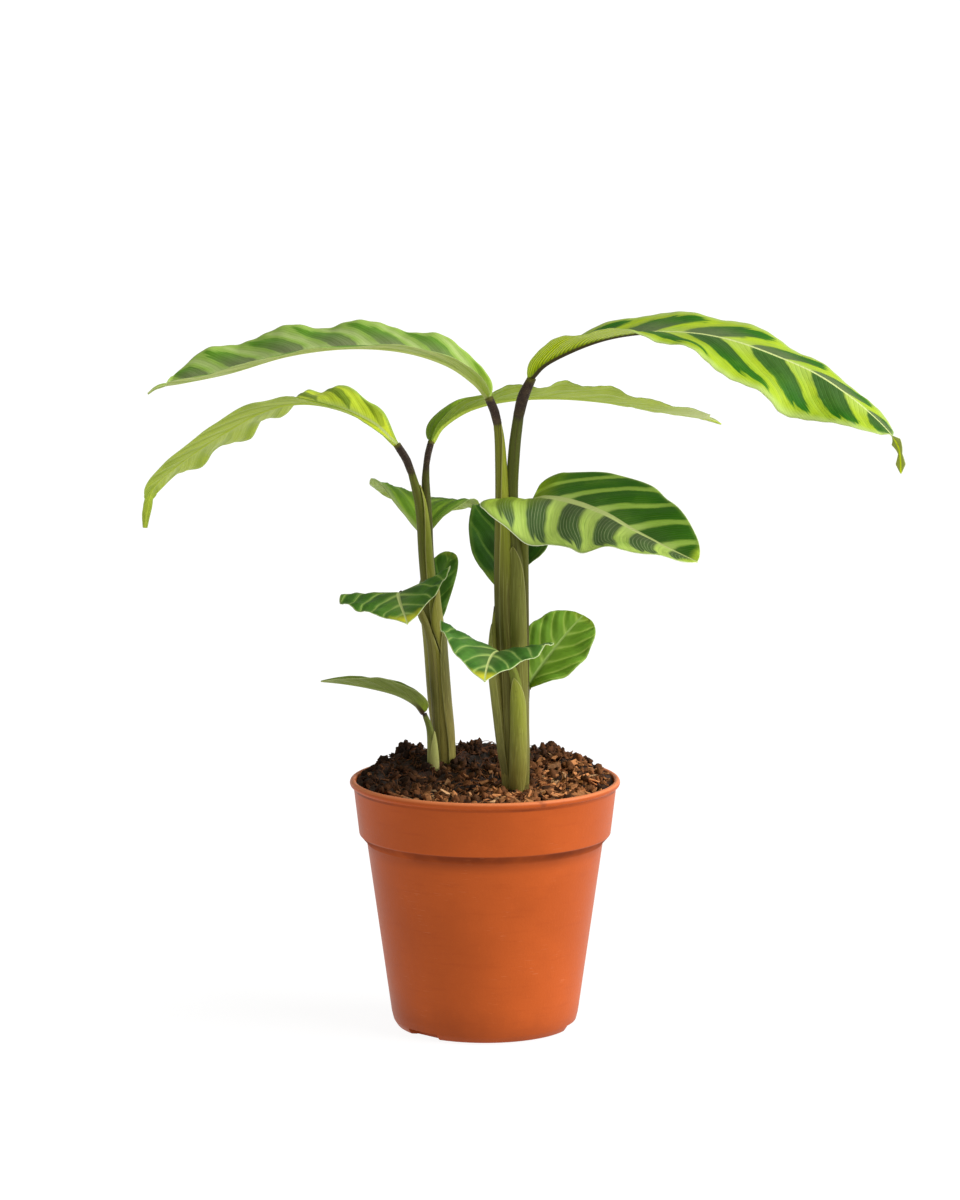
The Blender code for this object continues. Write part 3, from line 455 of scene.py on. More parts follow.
def srgb(code):
    """A screen colour such as #1a2b3c as linear red, green, blue and alpha."""
    parts = [int(code[start:start + 2], 16) / 255 for start in (1, 3, 5)]
    linear = [v / 12.92 if v <= 0.04045 else ((v + 0.055) / 1.055) ** 2.4 for v in parts]
    return (*linear, 1.0)


def mm(*values):
    """A point given in millimetres."""
    return Vector(values) * MM


class Value:
    """A node's output, which adds, subtracts and multiplies as a number does."""

    def __init__(self, tree, socket):
        self.tree = tree
        self.socket = socket

    def __add__(self, other):
        return self.tree.math("ADD", self, other)

    def __sub__(self, other):
        return self.tree.math("SUBTRACT", self, other)

    def __rsub__(self, other):
        return self.tree.math("SUBTRACT", other, self)

    def __mul__(self, other):
        return self.tree.math("MULTIPLY", self, other)

    __radd__ = __add__
    __rmul__ = __mul__

    def zigzag(self):
        """0 at whole values and 1 halfway between them."""
        return self.tree.math("PINGPONG", self, 0.5) * 2

    def ramp(self, low, high, end=1.0, start=0.0):
        """start at low, end at high, and a soft step between; low may lie above high."""
        return self.tree.output("MapRange", {
            "Value": self, "From Min": low, "From Max": high, "To Min": start, "To Max": end,
        }, interpolation_type="SMOOTHSTEP")


class Tree:
    """Short calls that add nodes to one material."""

    def __init__(self, name, roughness, specular=0.5, sheen=(0.0, 0.5, "#ffffff")):
        self.material = bpy.data.materials.new(name)
        self.material.use_nodes = True
        self.nodes = self.material.node_tree.nodes
        self.links = self.material.node_tree.links
        weight, spread, tint = sheen
        self.shader = self.nodes["Principled BSDF"]
        self.feed(self.shader, {
            "Roughness": roughness, "Specular IOR Level": specular, "Sheen Weight": weight,
            "Sheen Roughness": spread, "Sheen Tint": tint})

    def feed(self, node, values):
        """Link or set a node's inputs; a text is a colour."""
        for key, value in values.items():
            if isinstance(value, Value):
                self.links.new(value.socket, node.inputs[key])
            else:
                node.inputs[key].default_value = srgb(value) if isinstance(value, str) else value

    def output(self, kind, values, place=0, **settings):
        """One output of a new node."""
        node = self.nodes.new("ShaderNode" + kind)
        for key, value in settings.items():
            setattr(node, key, value)
        self.feed(node, values)
        return Value(self, node.outputs[place])

    def math(self, operation, a, b=0.0):
        return self.output("Math", {0: a, 1: b}, operation=operation)

    def mix(self, factor, a, b):
        return self.output("Mix", {0: factor, 6: a, 7: b}, 2, data_type="RGBA")

    def coats(self, base, *rows):
        """The base with colours laid over it in turn, from rows of (share, colour)."""
        for share, colour in rows:
            base = self.mix(share, base, colour)
        return base

    def pair(self, right, values):
        """The left half's value and the right half's, chosen by the half map."""
        left, other = both(values)
        return left + right * (other - left)

    def place(self):
        return self.output("TexCoord", {}, "Object")

    def noise(self, vector, scale, detail=2, roughness=0.5, stretch=None):
        if stretch:
            vector = self.output("Mapping", {"Vector": vector, "Scale": stretch})
        return self.output("TexNoise", {"Vector": vector, "Scale": scale, "Detail": detail,
                                        "Roughness": roughness})

    def combine(self, *values):
        return self.output("CombineXYZ", dict(enumerate(values)))

    def split(self, vector):
        return [self.output("SeparateXYZ", {0: vector}, place) for place in range(3)]

    def uv(self, name):
        """The two values of a named UV map."""
        return self.split(self.output("UVMap", {}, uv_map=name))[:2]

    def finish(self, colour, height=None, distance=0.0, strength=1.0):
        """The material, with its colour and its bump in place."""
        self.feed(self.shader, {"Base Color": colour})
        if height:
            self.feed(self.shader, {"Normal": self.output("Bump", {
                "Height": height, "Distance": distance, "Strength": strength})})
        return self.material


def both(values):
    """A left and a right value, where one may stand for both."""
    return values if isinstance(values, tuple) else (values, values)


def smooth_path(points, steps=60):
    """A fine polyline through the given rows (any number of columns), by Catmull-Rom."""
    rows = np.array(points, float)
    rows = np.vstack([2 * rows[0] - rows[1], rows, 2 * rows[-1] - rows[-2]])
    t = (np.arange(steps) / steps)[:, None]
    pieces = []
    for a, b, c, d in zip(rows, rows[1:], rows[2:], rows[3:]):
        pieces.append(0.5 * (2 * b + (c - a) * t + (2 * a - 5 * b + 4 * c - d) * t ** 2
                             + (3 * b - a - 3 * c + d) * t ** 3))
    return np.vstack(pieces + [rows[-2:-1]])


def length_fractions(path):
    steps = np.linalg.norm(np.diff(path[:, :3], axis=0), axis=1)
    travelled = np.concatenate([[0.0], np.cumsum(steps)])
    return travelled / travelled[-1], travelled[-1]


def along(path, fractions):
    """Rows of the path at the given fractions of its length."""
    distance, _ = length_fractions(path)
    return np.stack([np.interp(fractions, distance, column) for column in path.T], axis=1)


def keyed(values, fractions):
    """Values given at even steps, read smoothly at the fractions."""
    rows = smooth_path([(value,) for value in values])[:, 0]
    return np.interp(fractions, np.linspace(0, 1, len(rows)), rows)


def unit(vectors):
    return vectors / np.maximum(np.linalg.norm(vectors, axis=-1, keepdims=True), 1e-9)


def link(obj):
    bpy.context.scene.collection.objects.link(obj)
    return obj


def new_piece(name, parts, material, slot, *replaces):
    """One mesh piece made of parts (points in millimetres, faces, maps of two values per point)."""
    faces, first = [], 0
    for points, some, _ in parts:
        faces += [[index + first for index in face] for face in some]
        first += len(points)
    mesh = bpy.data.meshes.new(name)
    mesh.from_pydata((np.vstack([points for points, _, _ in parts]) * MM).tolist(), [], faces)
    owners = np.empty(len(mesh.loops), int)
    mesh.loops.foreach_get("vertex_index", owners)
    for key in parts[0][2]:
        values = np.vstack([maps[key] for _, _, maps in parts])
        mesh.uv_layers.new(name=key).data.foreach_set("uv", values[owners].ravel())
    mesh.materials.append(material)
    mesh.shade_smooth()
    mesh.validate()
    obj = link(bpy.data.objects.new(name, mesh))
    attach(obj, "root")
    if replaces:
        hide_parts(*replaces)
    return obj


def shell_faces(rows, columns):
    """Quads of a closed sheet made of two grids of points, the upper one first."""
    index = np.arange(rows * columns).reshape(rows, columns)
    under = index + rows * columns
    quads = [np.stack([index[:-1, :-1], index[:-1, 1:], index[1:, 1:], index[1:, :-1]], -1),
             np.stack([under[:-1, :-1], under[1:, :-1], under[1:, 1:], under[:-1, 1:]], -1)]
    for a, b in ((index[:, 0], under[:, 0]), (index[-1], under[-1]),
                 (index[::-1, -1], under[::-1, -1]), (index[0, ::-1], under[0, ::-1])):
        quads.append(np.stack([a[:-1], a[1:], b[1:], b[:-1]], -1))
    return np.vstack([quad.reshape(-1, 4) for quad in quads]).tolist()


def sheet(upper, lower, maps):
    """The part between two grids of points; each map is a pair of values over the grid."""
    rows, columns, _ = upper.shape
    made = {}
    for key, pair in maps.items():
        values = np.stack([np.broadcast_to(value, (rows, columns)) for value in pair], -1)
        made[key] = np.vstack([values.reshape(-1, 2)] * 2)
    points = np.vstack([upper.reshape(-1, 3), lower.reshape(-1, 3)])
    return points, shell_faces(rows, columns), made


def carried_frames(centre):
    """Two directions square to a path at each of its points, turned as little as possible."""
    tangent = unit(np.gradient(centre, axis=0))
    seed = np.array([0.0, 1.0, 0.0]) if abs(tangent[0][1]) < 0.9 else np.array([0.0, 0.0, 1.0])
    firsts, seconds = [], []
    for direction in tangent:
        seed = unit(seed - direction * (direction @ seed))
        firsts.append(seed)
        seconds.append(np.cross(direction, seed))
    return np.array(firsts), np.array(seconds)


def ring_quads(rows, sides):
    index = np.arange(rows * sides).reshape(rows, sides)
    after = np.roll(index, -1, axis=1)
    return np.stack([index[:-1], after[:-1], after[1:], index[1:]], -1).reshape(-1, 4)


def tube(rows, sides, ridges=0, share=0.0):
    """The part of a closed tube through (x, y, z, radius) rows, ridged lengthwise."""
    centre, radius = rows[:, :3], rows[:, 3]
    a, b = carried_frames(centre)
    angle = np.linspace(0, math.tau, sides, endpoint=False)
    circle = np.stack([np.cos(angle), np.sin(angle)], 1)
    ring = a[:, None] * circle[:, :1] + b[:, None] * circle[:, 1:]
    ring_radius = radius[:, None] * (1 + share * np.cos(ridges * angle))
    points = (centre[:, None] + ring * ring_radius[:, :, None]).reshape(-1, 3)
    fraction, length = length_fractions(centre)
    run = np.repeat(np.stack([fraction, fraction * length / 100], 1), sides, axis=0)
    faces = ring_quads(len(rows), sides).tolist()
    faces.append(list(range(sides))[::-1])
    faces.append(list(range(len(points) - sides, len(points))))
    return points, faces, {"run": run, "ring": np.tile(circle, (len(rows), 1))}


def rounded(points, radius, steps):
    """A polyline of (r, z) points with its inner corners rounded."""
    points = [Vector(point) for point in points]
    made = [points[0]]
    for before, corner, after in zip(points, points[1:], points[2:]):
        reach = min(radius, (before - corner).length * 0.45, (after - corner).length * 0.45)
        start = corner + (before - corner).normalized() * reach
        end = corner + (after - corner).normalized() * reach
        for step in range(steps + 1):
            t = step / steps
            made.append(start * (1 - t) ** 2 + corner * 2 * t * (1 - t) + end * t ** 2)
    return made + [points[-1]]


def pot_outside():
    """(radius, z) from the rim's top down to the underside."""
    return [(RIM_RADIUS - 1.5, POT_HEIGHT), (RIM_RADIUS - 0.5, POT_HEIGHT - 0.4),
            (RIM_RADIUS, POT_HEIGHT - 1.5), (RIM_RADIUS - 0.4, POT_HEIGHT - BEAD_HEIGHT + 0.3),
            (COLLAR_TOP_RADIUS, POT_HEIGHT - BEAD_HEIGHT), (COLLAR_LOW_RADIUS, COLLAR_LOW_Z),
            (COLLAR_LOW_RADIUS - 0.5, COLLAR_LOW_Z - 0.6), (BODY_TOP_RADIUS, BODY_TOP_Z),
            (BODY_LOW_RADIUS, BODY_LOW_Z), (BODY_LOW_RADIUS - 0.9, BODY_LOW_Z - 3.6),
            (BODY_LOW_RADIUS - 2.6, BODY_LOW_Z - 6.2), (BASE_RADIUS, 0.0)]


def pot_inside():
    """(radius, z) from the floor's edge up to the rim's top."""
    return [(BASE_RADIUS, POT_FLOOR), (BODY_LOW_RADIUS - POT_WALL - 0.6, BODY_LOW_Z),
            (BODY_TOP_RADIUS - POT_WALL, BODY_TOP_Z + 0.6),
            (COLLAR_LOW_RADIUS - POT_WALL, COLLAR_LOW_Z + 0.9),
            (COLLAR_TOP_RADIUS - POT_WALL, POT_HEIGHT - BEAD_HEIGHT),
            (RIM_RADIUS - 2.6, POT_HEIGHT - 0.4)]


def turned_solid(profile, sides):
    """Points and faces of a closed turned solid; the first and last points lie on the axis."""
    angle = np.linspace(0, math.tau, sides, endpoint=False)
    rings = [np.stack([radius * np.cos(angle), radius * np.sin(angle), np.full(sides, z)], 1)
             for radius, z in profile[1:-1]]
    points = np.vstack(rings + [[(0, 0, profile[0][1]), (0, 0, profile[-1][1])]])
    faces = ring_quads(len(rings), sides)[:, [0, 3, 2, 1]].tolist()
    start, end = len(points) - 2, len(points) - 1
    last = start - sides
    for side in range(sides):
        faces.append([start, side, (side + 1) % sides])
    for side in range(sides):
        faces.append([end, last + (side + 1) % sides, last + side])
    return points, faces


def pot_material():
    t = Tree("terracotta_plastic", 0.5, 0.11)
    place = t.place()
    height = t.split(place)[2]
    cloudy = t.noise(place, 26, 4, 0.6)
    grain = t.noise(place, 900, 3, 0.6)
    flow = t.noise(place, 6, 4, 0.65, (9, 9, 70))
    base = t.coats(t.mix(cloudy.ramp(0.35, 0.7), "#a84b19", "#b1501c"),
                   (flow.ramp(0.5, 0.8, 0.3), "#983e15"),
                   (grain.ramp(0.58, 0.74, 0.2), "#c05c28"),
                   ((height + cloudy * 0.02).ramp(0.03, 0.004, 0.5), "#702e14"))
    # Painted shade: darker bands just under the collar's lower edge and under the bead, where shade
    # falls.
    for top, reach in ((COLLAR_LOW_Z, 10.0), (COLLAR_LOW_Z, 4.8), (POT_HEIGHT - BEAD_HEIGHT, 1.6)):
        below = top * MM - height
        painted_shade = below.ramp(0.0, 0.0006) * below.ramp(reach * MM, 0.0012)
        base = t.mix(painted_shade * cloudy.ramp(0.35, 0.65, 0.75, 0.2), base, "#682a10")
    below = COLLAR_LOW_Z * MM - height
    dull = below.ramp(0.0003, 0.0008) * below.ramp(0.0044, 0.0036)
    scratch = t.noise(place, 160, 2, 0.4, (1, 1, 14))
    worn = scratch.ramp(0.66, 0.72) * t.noise(place, 55).ramp(0.55, 0.68)
    scuff = (t.noise(place, 75, 3, 0.6).ramp(0.6, 0.68)
             * height.ramp((POT_HEIGHT - 6) * MM, (POT_HEIGHT - 2) * MM))
    # Painted highlight: the top edge of the rim is made lighter where light falls on it.
    rim = height.ramp((POT_HEIGHT - 1.6) * MM, (POT_HEIGHT - 0.3) * MM, 0.85)
    base = t.coats(base, (rim, "#de8454"), (worn * 0.28, "#ce7a50"),
                   (scuff * 0.6, "#78381e"))
    rough = cloudy * 0.6 + grain * 0.4
    t.feed(t.shader, {"Roughness": rough.ramp(0.3, 0.75, 0.5, 0.36) + dull * 0.45})
    return t.finish(base, grain + worn * -0.8, 0.0002, 0.3)


def build_pot():
    profile = rounded([(0.0, POT_FLOOR)] + pot_inside() + pot_outside() + [(0.0, 0.0)],
                      CORNER_RADIUS, CORNER_STEPS)
    points, faces = turned_solid(profile[::-1], POT_SIDES)
    pot = new_piece("nursery_pot", [(points, faces, {})], pot_material(), "terracotta", "pot")
    cutters = []
    for angle in SLOT_ANGLES:
        turn = math.radians(angle)
        middle = BODY_LOW_RADIUS + 1.0 - SLOT_DEPTH / 2
        bpy.ops.mesh.primitive_cube_add(size=1)
        cutter = bpy.context.object
        cutter.dimensions = mm(SLOT_DEPTH, SLOT_WIDTH, 2 * SLOT_HEIGHT)
        cutter.location = mm(middle * math.cos(turn), middle * math.sin(turn), 0)
        cutter.rotation_euler = (0, 0, turn)
        cut = pot.modifiers.new("slot", "BOOLEAN")
        cut.operation = "DIFFERENCE"
        cut.solver = "EXACT"
        cut.object = cutter
        cutters.append(cutter)
    evaluated = pot.evaluated_get(bpy.context.evaluated_depsgraph_get())
    mesh = bpy.data.meshes.new_from_object(evaluated)
    pot.modifiers.clear()
    pot.data = mesh
    for cutter in cutters:
        bpy.data.objects.remove(cutter, do_unlink=True)
    mesh.set_sharp_from_angle(angle=math.radians(POT_SHARP_ANGLE))


def lumps(x, y, rows):
    return sum(noise.noise(Vector((x, y, seed)) / size) * height for seed, size, height in rows)


def soil_height(x, y):
    """Height of the potting mix: low at the front rim, mounded at the back, with fine crumbs."""
    back = min(max((y - SLOPE_FRONT_Y) / SLOPE_LENGTH, 0), 1)
    edge = min(max((COLLAR_TOP_RADIUS - 2 - math.hypot(x, y)) / EDGE_FALL, 0), 1)
    rise = SOIL_BACK_RISE * back * back * (3 - 2 * back) + SOIL_CROWN_RISE
    rise += lumps(x, y, BROAD_LUMPS) * SOIL_ROUGHNESS
    rise *= EDGE_RISE_SHARE + (1 - EDGE_RISE_SHARE) * edge
    return (SOIL_EDGE_Z + rise + lumps(x, y, FINE_LUMPS) + abs(lumps(x, y, RIDGED_LUMPS))
            - SOIL_SINK)


def soil_material():
    t = Tree("potting_mix", 0.95)
    coarse = t.noise(t.place(), 130, 4, 0.6)
    fine = t.noise(t.place(), 700, 4, 0.7)
    base = t.coats(t.mix(coarse.ramp(0.35, 0.65), "#1a0f09", "#3a2113"),
                   (fine.ramp(0.55, 0.75, 0.6), "#683a20"),
                   (fine.ramp(0.45, 0.2, 0.8), "#100b09"))
    return t.finish(base, fine + coarse, 0.0008, 0.9)


def to_front(x, y):
    return x * FRONT_SIDE[0] + y * FRONT_SIDE[1]


def crumb_material(name, low, high, dusty):
    """Crumbs or chips shaded by their values in the tone map, lighter towards the front."""
    t = Tree(name, 0.9, 0.15)
    place = t.place()
    own, other = t.uv("tone")
    fine = t.noise(place, 900, 4, 0.7)
    x, y, _ = t.split(place)
    warm = (to_front(x, y) + t.noise(place, 40) * 0.03).ramp(-0.01, 0.045, 1.0, 0.08)
    base = t.coats(t.mix(own * warm, low, high),
                   (fine.ramp(0.45, 0.7, 0.4), t.mix(other, low, high)),
                   (fine.ramp(0.4, 0.25, 0.5), low),
                   (other.ramp(0.94, 0.98, 0.6) * warm, dusty))
    return t.finish(base, fine, 0.0004, 0.8)


def mesh_arrays(bm):
    """Points and faces of a bmesh, which is freed."""
    bm.verts.index_update()
    points = np.array([vertex.co for vertex in bm.verts])
    faces = [[vertex.index for vertex in face.verts] for face in bm.faces]
    bm.free()
    return points, faces


def turned_about(rng, points, tilt):
    """Points turned by a random heading and by at most tilt about the level axes."""
    angles = (rng.uniform(-tilt, tilt), rng.uniform(-tilt, tilt), rng.uniform(0, math.tau))
    points = points.copy()
    for axis, angle in enumerate(angles):
        c, s = math.cos(angle), math.sin(angle)
        a, b = [k for k in range(3) if k != axis]
        first, second = points[:, a] * c - points[:, b] * s, points[:, a] * s + points[:, b] * c
        points[:, a], points[:, b] = first, second
    return points


def random_size(rng, least, spread, power):
    return least + spread * rng.random() ** power


def soil_spot(rng, reach):
    radius = reach * math.sqrt(rng.random())
    angle = rng.uniform(0, math.tau)
    return radius * math.cos(angle), radius * math.sin(angle)


def rough_ball(rng, template, size):
    shift = Vector([rng.uniform(0, 100) for _ in range(3)])
    bumps = np.array([noise.noise(Vector(point) * CRUMB_BUMPS + shift) for point in template])
    shape = np.array([1.0, rng.uniform(0.5, 0.9), rng.uniform(0.45, 0.8)])
    return template * shape * (size * (1 + CRUMB_BUMP_SHARE * bumps))[:, None]


def toned(points, own, other):
    """The map that gives a crumb, chip or fibre its two values."""
    return {"tone": np.tile([own, other], (len(points), 1))}


def build_soil_bed():
    inside = pot_inside()
    edge = inside[-2][0] - SOIL_CLEARANCE
    floor = POT_FLOOR + 0.3
    profile = [(edge * (ring / SOIL_RINGS) ** RING_CROWDING, SOIL_EDGE_Z)
               for ring in range(SOIL_RINGS + 1)]
    profile += [(radius - WALL_CLEARANCE, z) for radius, z in reversed(inside[1:-2])]
    points, faces = turned_solid(profile + [(BASE_RADIUS - 0.5, floor), (0.0, floor)], SOIL_SIDES)
    for point in points:
        if point[2] > SOIL_EDGE_Z - 0.01:
            point[2] = soil_height(point[0], point[1])
    new_piece("potting_mix", [(points, faces, {})], soil_material(), "soil", "soil")


def build_crumbs():
    rng = random.Random(SEED + 1)
    bm = bmesh.new()
    bmesh.ops.create_icosphere(bm, subdivisions=2, radius=1)
    template, faces = mesh_arrays(bm)
    parts = []
    for index in range(CRUMB_COUNT):
        x, y = soil_spot(rng, CRUMB_REACH)
        size = random_size(rng, *CRUMB_SIZES)
        if index < len(STANDING_LUMPS) * LUMP_CRUMBS:
            cx, cy, cz, spread = STANDING_LUMPS[index % len(STANDING_LUMPS)]
            offset = Vector([rng.gauss(0, 1) for _ in range(3)]).normalized() * spread * LUMP_FILL
            x, y, z = cx + offset.x, cy + offset.y, cz + offset.z * LUMP_FLATNESS
            size = rng.uniform(*LUMP_CRUMB_SIZES)
        else:
            z = soil_height(x, y) + size * rng.uniform(0.05, 0.55)
        ball = turned_about(rng, rough_ball(rng, template, size), math.pi) + np.array([x, y, z])
        parts.append((ball, faces, toned(ball, rng.random(), rng.random())))
    material = crumb_material("dark_crumbs", "#160d08", "#986038", "#9e6e46")
    new_piece("mix_crumbs", parts, material, "soil")


def chip_template(rng):
    """One bark chip: the hull of a few points spread through a long flat box."""
    bm = bmesh.new()
    for _ in range(CHIP_CORNERS):
        bm.verts.new([rng.uniform(-side, side) for side in CHIP_BOX])
    hull = bmesh.ops.convex_hull(bm, input=bm.verts)
    spare = [item for item in hull["geom_interior"] + hull["geom_unused"]
             if isinstance(item, bmesh.types.BMVert)]
    bmesh.ops.delete(bm, geom=list(set(spare)), context="VERTS")
    return mesh_arrays(bm)


def build_chips():
    rng = random.Random(SEED + 2)
    kinds = [chip_template(rng) for _ in range(CHIP_KINDS)]
    parts = []
    for _ in range(CHIP_COUNT):
        x, y = soil_spot(rng, CHIP_REACH)
        if rng.random() < MOVED_CHIP_SHARE and to_front(x, y) < -5:
            x, y = abs(x) * MOVED_CHIP_REACH, -abs(y) * MOVED_CHIP_REACH
        size = random_size(rng, *(BACK_CHIP_SIZES if to_front(x, y) < 0 else FRONT_CHIP_SIZES))
        z = soil_height(x, y) + 0.3 * size * rng.random() + 0.25
        shape, faces = kinds[rng.randrange(CHIP_KINDS)]
        chip = turned_about(rng, shape * size, CHIP_TILT) + np.array([x, y, z])
        parts.append((chip, faces, toned(chip, rng.random() ** 0.8, rng.random())))
    material = crumb_material("bark_chips", "#3a1f11", "#de965e", "#e2ba8c")
    chips = new_piece("bark_chips", parts, material, "soil")
    chips.data.set_sharp_from_angle(angle=math.radians(CHIP_SHARP_ANGLE))


def build_fibres():
    rng = random.Random(SEED + 3)
    parts = []
    for _ in range(FIBRE_COUNT):
        x, y = soil_spot(rng, FIBRE_START_REACH)
        stride = rng.uniform(*FIBRE_LENGTHS) / FIBRE_STEPS
        heading = rng.uniform(0, math.tau)
        bend = rng.uniform(-FIBRE_BEND, FIBRE_BEND)
        rows = []
        for step in range(FIBRE_STEPS + 1):
            t = step / FIBRE_STEPS
            arch = FIBRE_ARCH * math.sin(math.pi * t) * rng.uniform(0.6, 1.0)
            rows.append((x, y, soil_height(x, y) + FIBRE_LIFT + arch,
                         FIBRE_RADIUS * (1 - FIBRE_TAPER * t)))
            x += stride * math.cos(heading)
            y += stride * math.sin(heading)
            heading += bend + rng.uniform(-FIBRE_WANDER, FIBRE_WANDER)
        if max(math.hypot(row[0], row[1]) for row in rows) <= FIBRE_REACH:
            points, faces, _ = tube(np.array(rows), FIBRE_SIDES)
            parts.append((points, faces, toned(points, rng.random(), rng.random())))
    material = crumb_material("root_fibres", "#542e1a", "#be7e50", "#d8b28a")
    new_piece("mix_fibres", parts, material, "soil")


def stalk_material(name, look):
    """A stalk's skin: colours from foot to top, with fibres, specks and a dark joint end."""
    t = Tree("stalk_" + name, 0.5, 0.22, (0.04, 0.4, "#e1e6be"))
    fraction, _ = t.uv("run")
    around = t.combine(*t.uv("ring"), fraction * 0.8)
    streak = t.noise(around, 3.2, 3, 0.6)
    thin = t.noise(around, 15, 2, 0.5, (1, 1, 0.4))
    speck = t.noise(t.place(), 800, 3, 0.6)
    drift = fraction + (streak - 0.5) * 0.3
    ragged = fraction + (thin - 0.5) * 0.06
    joint = look["joint"]
    base = t.coats(look["foot"], (drift.ramp(0.0, 0.35), look["mid"]),
                   (drift.ramp(0.5, 0.9), look["top"]),
                   (streak.ramp(0.5, 0.68, 0.65), look["stripe"]),
                   (thin.ramp(0.55, 0.75, 0.3), "#b0b058"),
                   (thin.ramp(0.45, 0.28, 0.3), "#2c2a0c"),
                   (speck.ramp(0.6, 0.75, 0.3), "#3c2a16"),
                   (ragged.ramp(1 - joint, 1 - 0.2 * joint), "#36281c"))
    return t.finish(base, thin + streak * 0.6, 0.0004, 0.6)


def fine_rows(stations, spacing, extend=(0.0, 0.0)):
    """Rows (x, y, z, radius) along the smooth path, closely spaced, drawn out at either end."""
    path = smooth_path(stations)
    _, length = length_fractions(path)
    rows = along(path, np.linspace(0, 1, max(4, round(length / spacing) + 1)))
    for place, ahead, by in ((0, 1, extend[0]), (-1, -2, extend[1])):
        if by:
            far = rows[place].copy()
            far[:3] += unit(rows[place, :3] - rows[ahead, :3]) * by
            rows = np.vstack([far, rows]) if place == 0 else np.vstack([rows, far])
    return rows


def build_stalks():
    for node, clump in CLUMPS.items():
        for stalk, stations in clump.items():
            name = f"{node}_{stalk}"
            part = tube(fine_rows(stations, STALK_STEP, (0.0, 0.5)), STALK_SIDES, STALK_RIDGES,
                        RIDGE_SHARE)
            material = stalk_material(name, {**OLIVE, **STALK_LOOKS[node][stalk]})
            new_piece(name, [part], material, "stalk", node)


def sheath_material(name, look):
    """A thin leaf sheath: fine parallel veins, a pale dry margin and a paler ear."""
    t = Tree(name + "_skin", 0.55, 0.2, (0.05, 0.4, "#e1e6c8"))
    fraction, _ = t.uv("run")
    from_edge, _ = t.uv("rim")
    around = t.combine(*t.uv("ring"), fraction * 0.5)
    thin = t.noise(around, 16)
    wide = t.noise(around, 4, 3, 0.6)
    speck = t.noise(t.place(), 700, 3, 0.6)
    base = t.coats(look["low"], ((fraction + wide * 0.3).ramp(look["turn"], 1.0), look["high"]),
                   (wide.ramp(0.5, 0.72, 0.6), look["low"]),
                   (thin.ramp(0.54, 0.72, look["lines"]), "#babc68"),
                   (thin.ramp(0.46, 0.3, look["lines"]), "#3a3814"),
                   (speck.ramp(0.6, 0.75, 0.3), "#563e22"),
                   ((from_edge + speck * 0.02).ramp(0.055, 0.02, 0.6), "#a8a464"))
    return t.finish(base, thin + wide * 0.5, 0.0003, 0.6)


def build_sheaths():
    for name, look in SHEATHS.items():
        look = {**PLAIN_SHEATH, **look}
        name = "sheath_" + name
        host = look["path"] if "path" in look else CLUMPS[look["node"]][look["stalk"]]
        rows = fine_rows(host, SHEATH_STEP)
        rows = rows[(rows[:, 2] >= look["foot"]) & (rows[:, 2] <= look["tip"])]
        centre, radius = rows[:, None, :3], rows[:, 3:]
        a, b = carried_frames(rows[:, :3])
        t = np.linspace(0, 1, len(rows))[:, None]
        u = np.linspace(-1, 1, SHEATH_COLUMNS)
        half = np.radians(look["half"]) * (1 - t ** look["sharp"]) ** 0.8 + 0.03
        half = np.minimum(half, math.radians(176))
        angle = math.pi + np.radians(np.interp(t, (0, 1), look["facing"])) + half * u
        circle = np.stack([np.cos(angle), np.sin(angle)])[..., None]
        ring = a[:, None] * circle[0] + b[:, None] * circle[1]
        sunk = (1 - np.clip(t / SHEATH_EMERGE, 0, 1)) * (SHEATH_THICKNESS + SHEATH_SUNK)
        bulge = look["keel"] * np.sin(math.pi * t ** 0.8) ** 0.7 * (1 - u ** 2)
        stand = radius * (1 + RIDGE_SHARE) + SHEATH_GAP - sunk + bulge + EDGE_FLARE * u ** 4
        from_edge = (1 - np.abs(u)) * half * radius / 10
        part = sheet(centre + ring * (stand + SHEATH_THICKNESS)[..., None],
                     centre + ring * stand[..., None],
                     {"run": (t, t), "ring": circle[..., 0], "rim": (from_edge, from_edge)})
        new_piece(name, [part], sheath_material(name, look), "stalk", look["node"])


def pulvinus_material():
    t = Tree("pulvinus_skin", 0.6, 0.25, (0.12, 0.4, "#beafa0"))
    place = t.place()
    fraction, length = t.uv("run")
    rings = t.math("SINE", (length + t.noise(place, 300) * 0.006) * 700)
    fine = t.noise(place, 1100, 3, 0.6)
    blotch = t.noise(place, 260, 3, 0.6)
    drift = fraction + (blotch - 0.5) * 0.3
    base = t.coats(t.mix(fine, "#221814", "#423024"),
                   (blotch.ramp(0.5, 0.7, 0.4), "#5c4a34"),
                   (drift.ramp(0.25, 0.0, 0.5), "#4a4218"),
                   (drift.ramp(0.82, 1.02, 0.7), "#706c1e"))
    return t.finish(base, rings * 0.3 + fine, 0.0003, 0.7)


def build_pulvini():
    material = pulvinus_material()
    for name, stations in PULVINI.items():
        part = tube(fine_rows(stations, JOINT_STEP, (0.5, 1.0)), STALK_SIDES, JOINT_RIDGES,
                    JOINT_RIDGE_SHARE)
        new_piece("leaf_joint_" + name, [part], material, "pulvinus", "pulvinus_" + name)


def hair_material():
    t = Tree("joint_hair", 0.6, sheen=(0.2, 0.4, "#ebe6d7"))
    return t.finish(t.mix(t.noise(t.place(), 900), "#8c7a60", "#c4b896"))


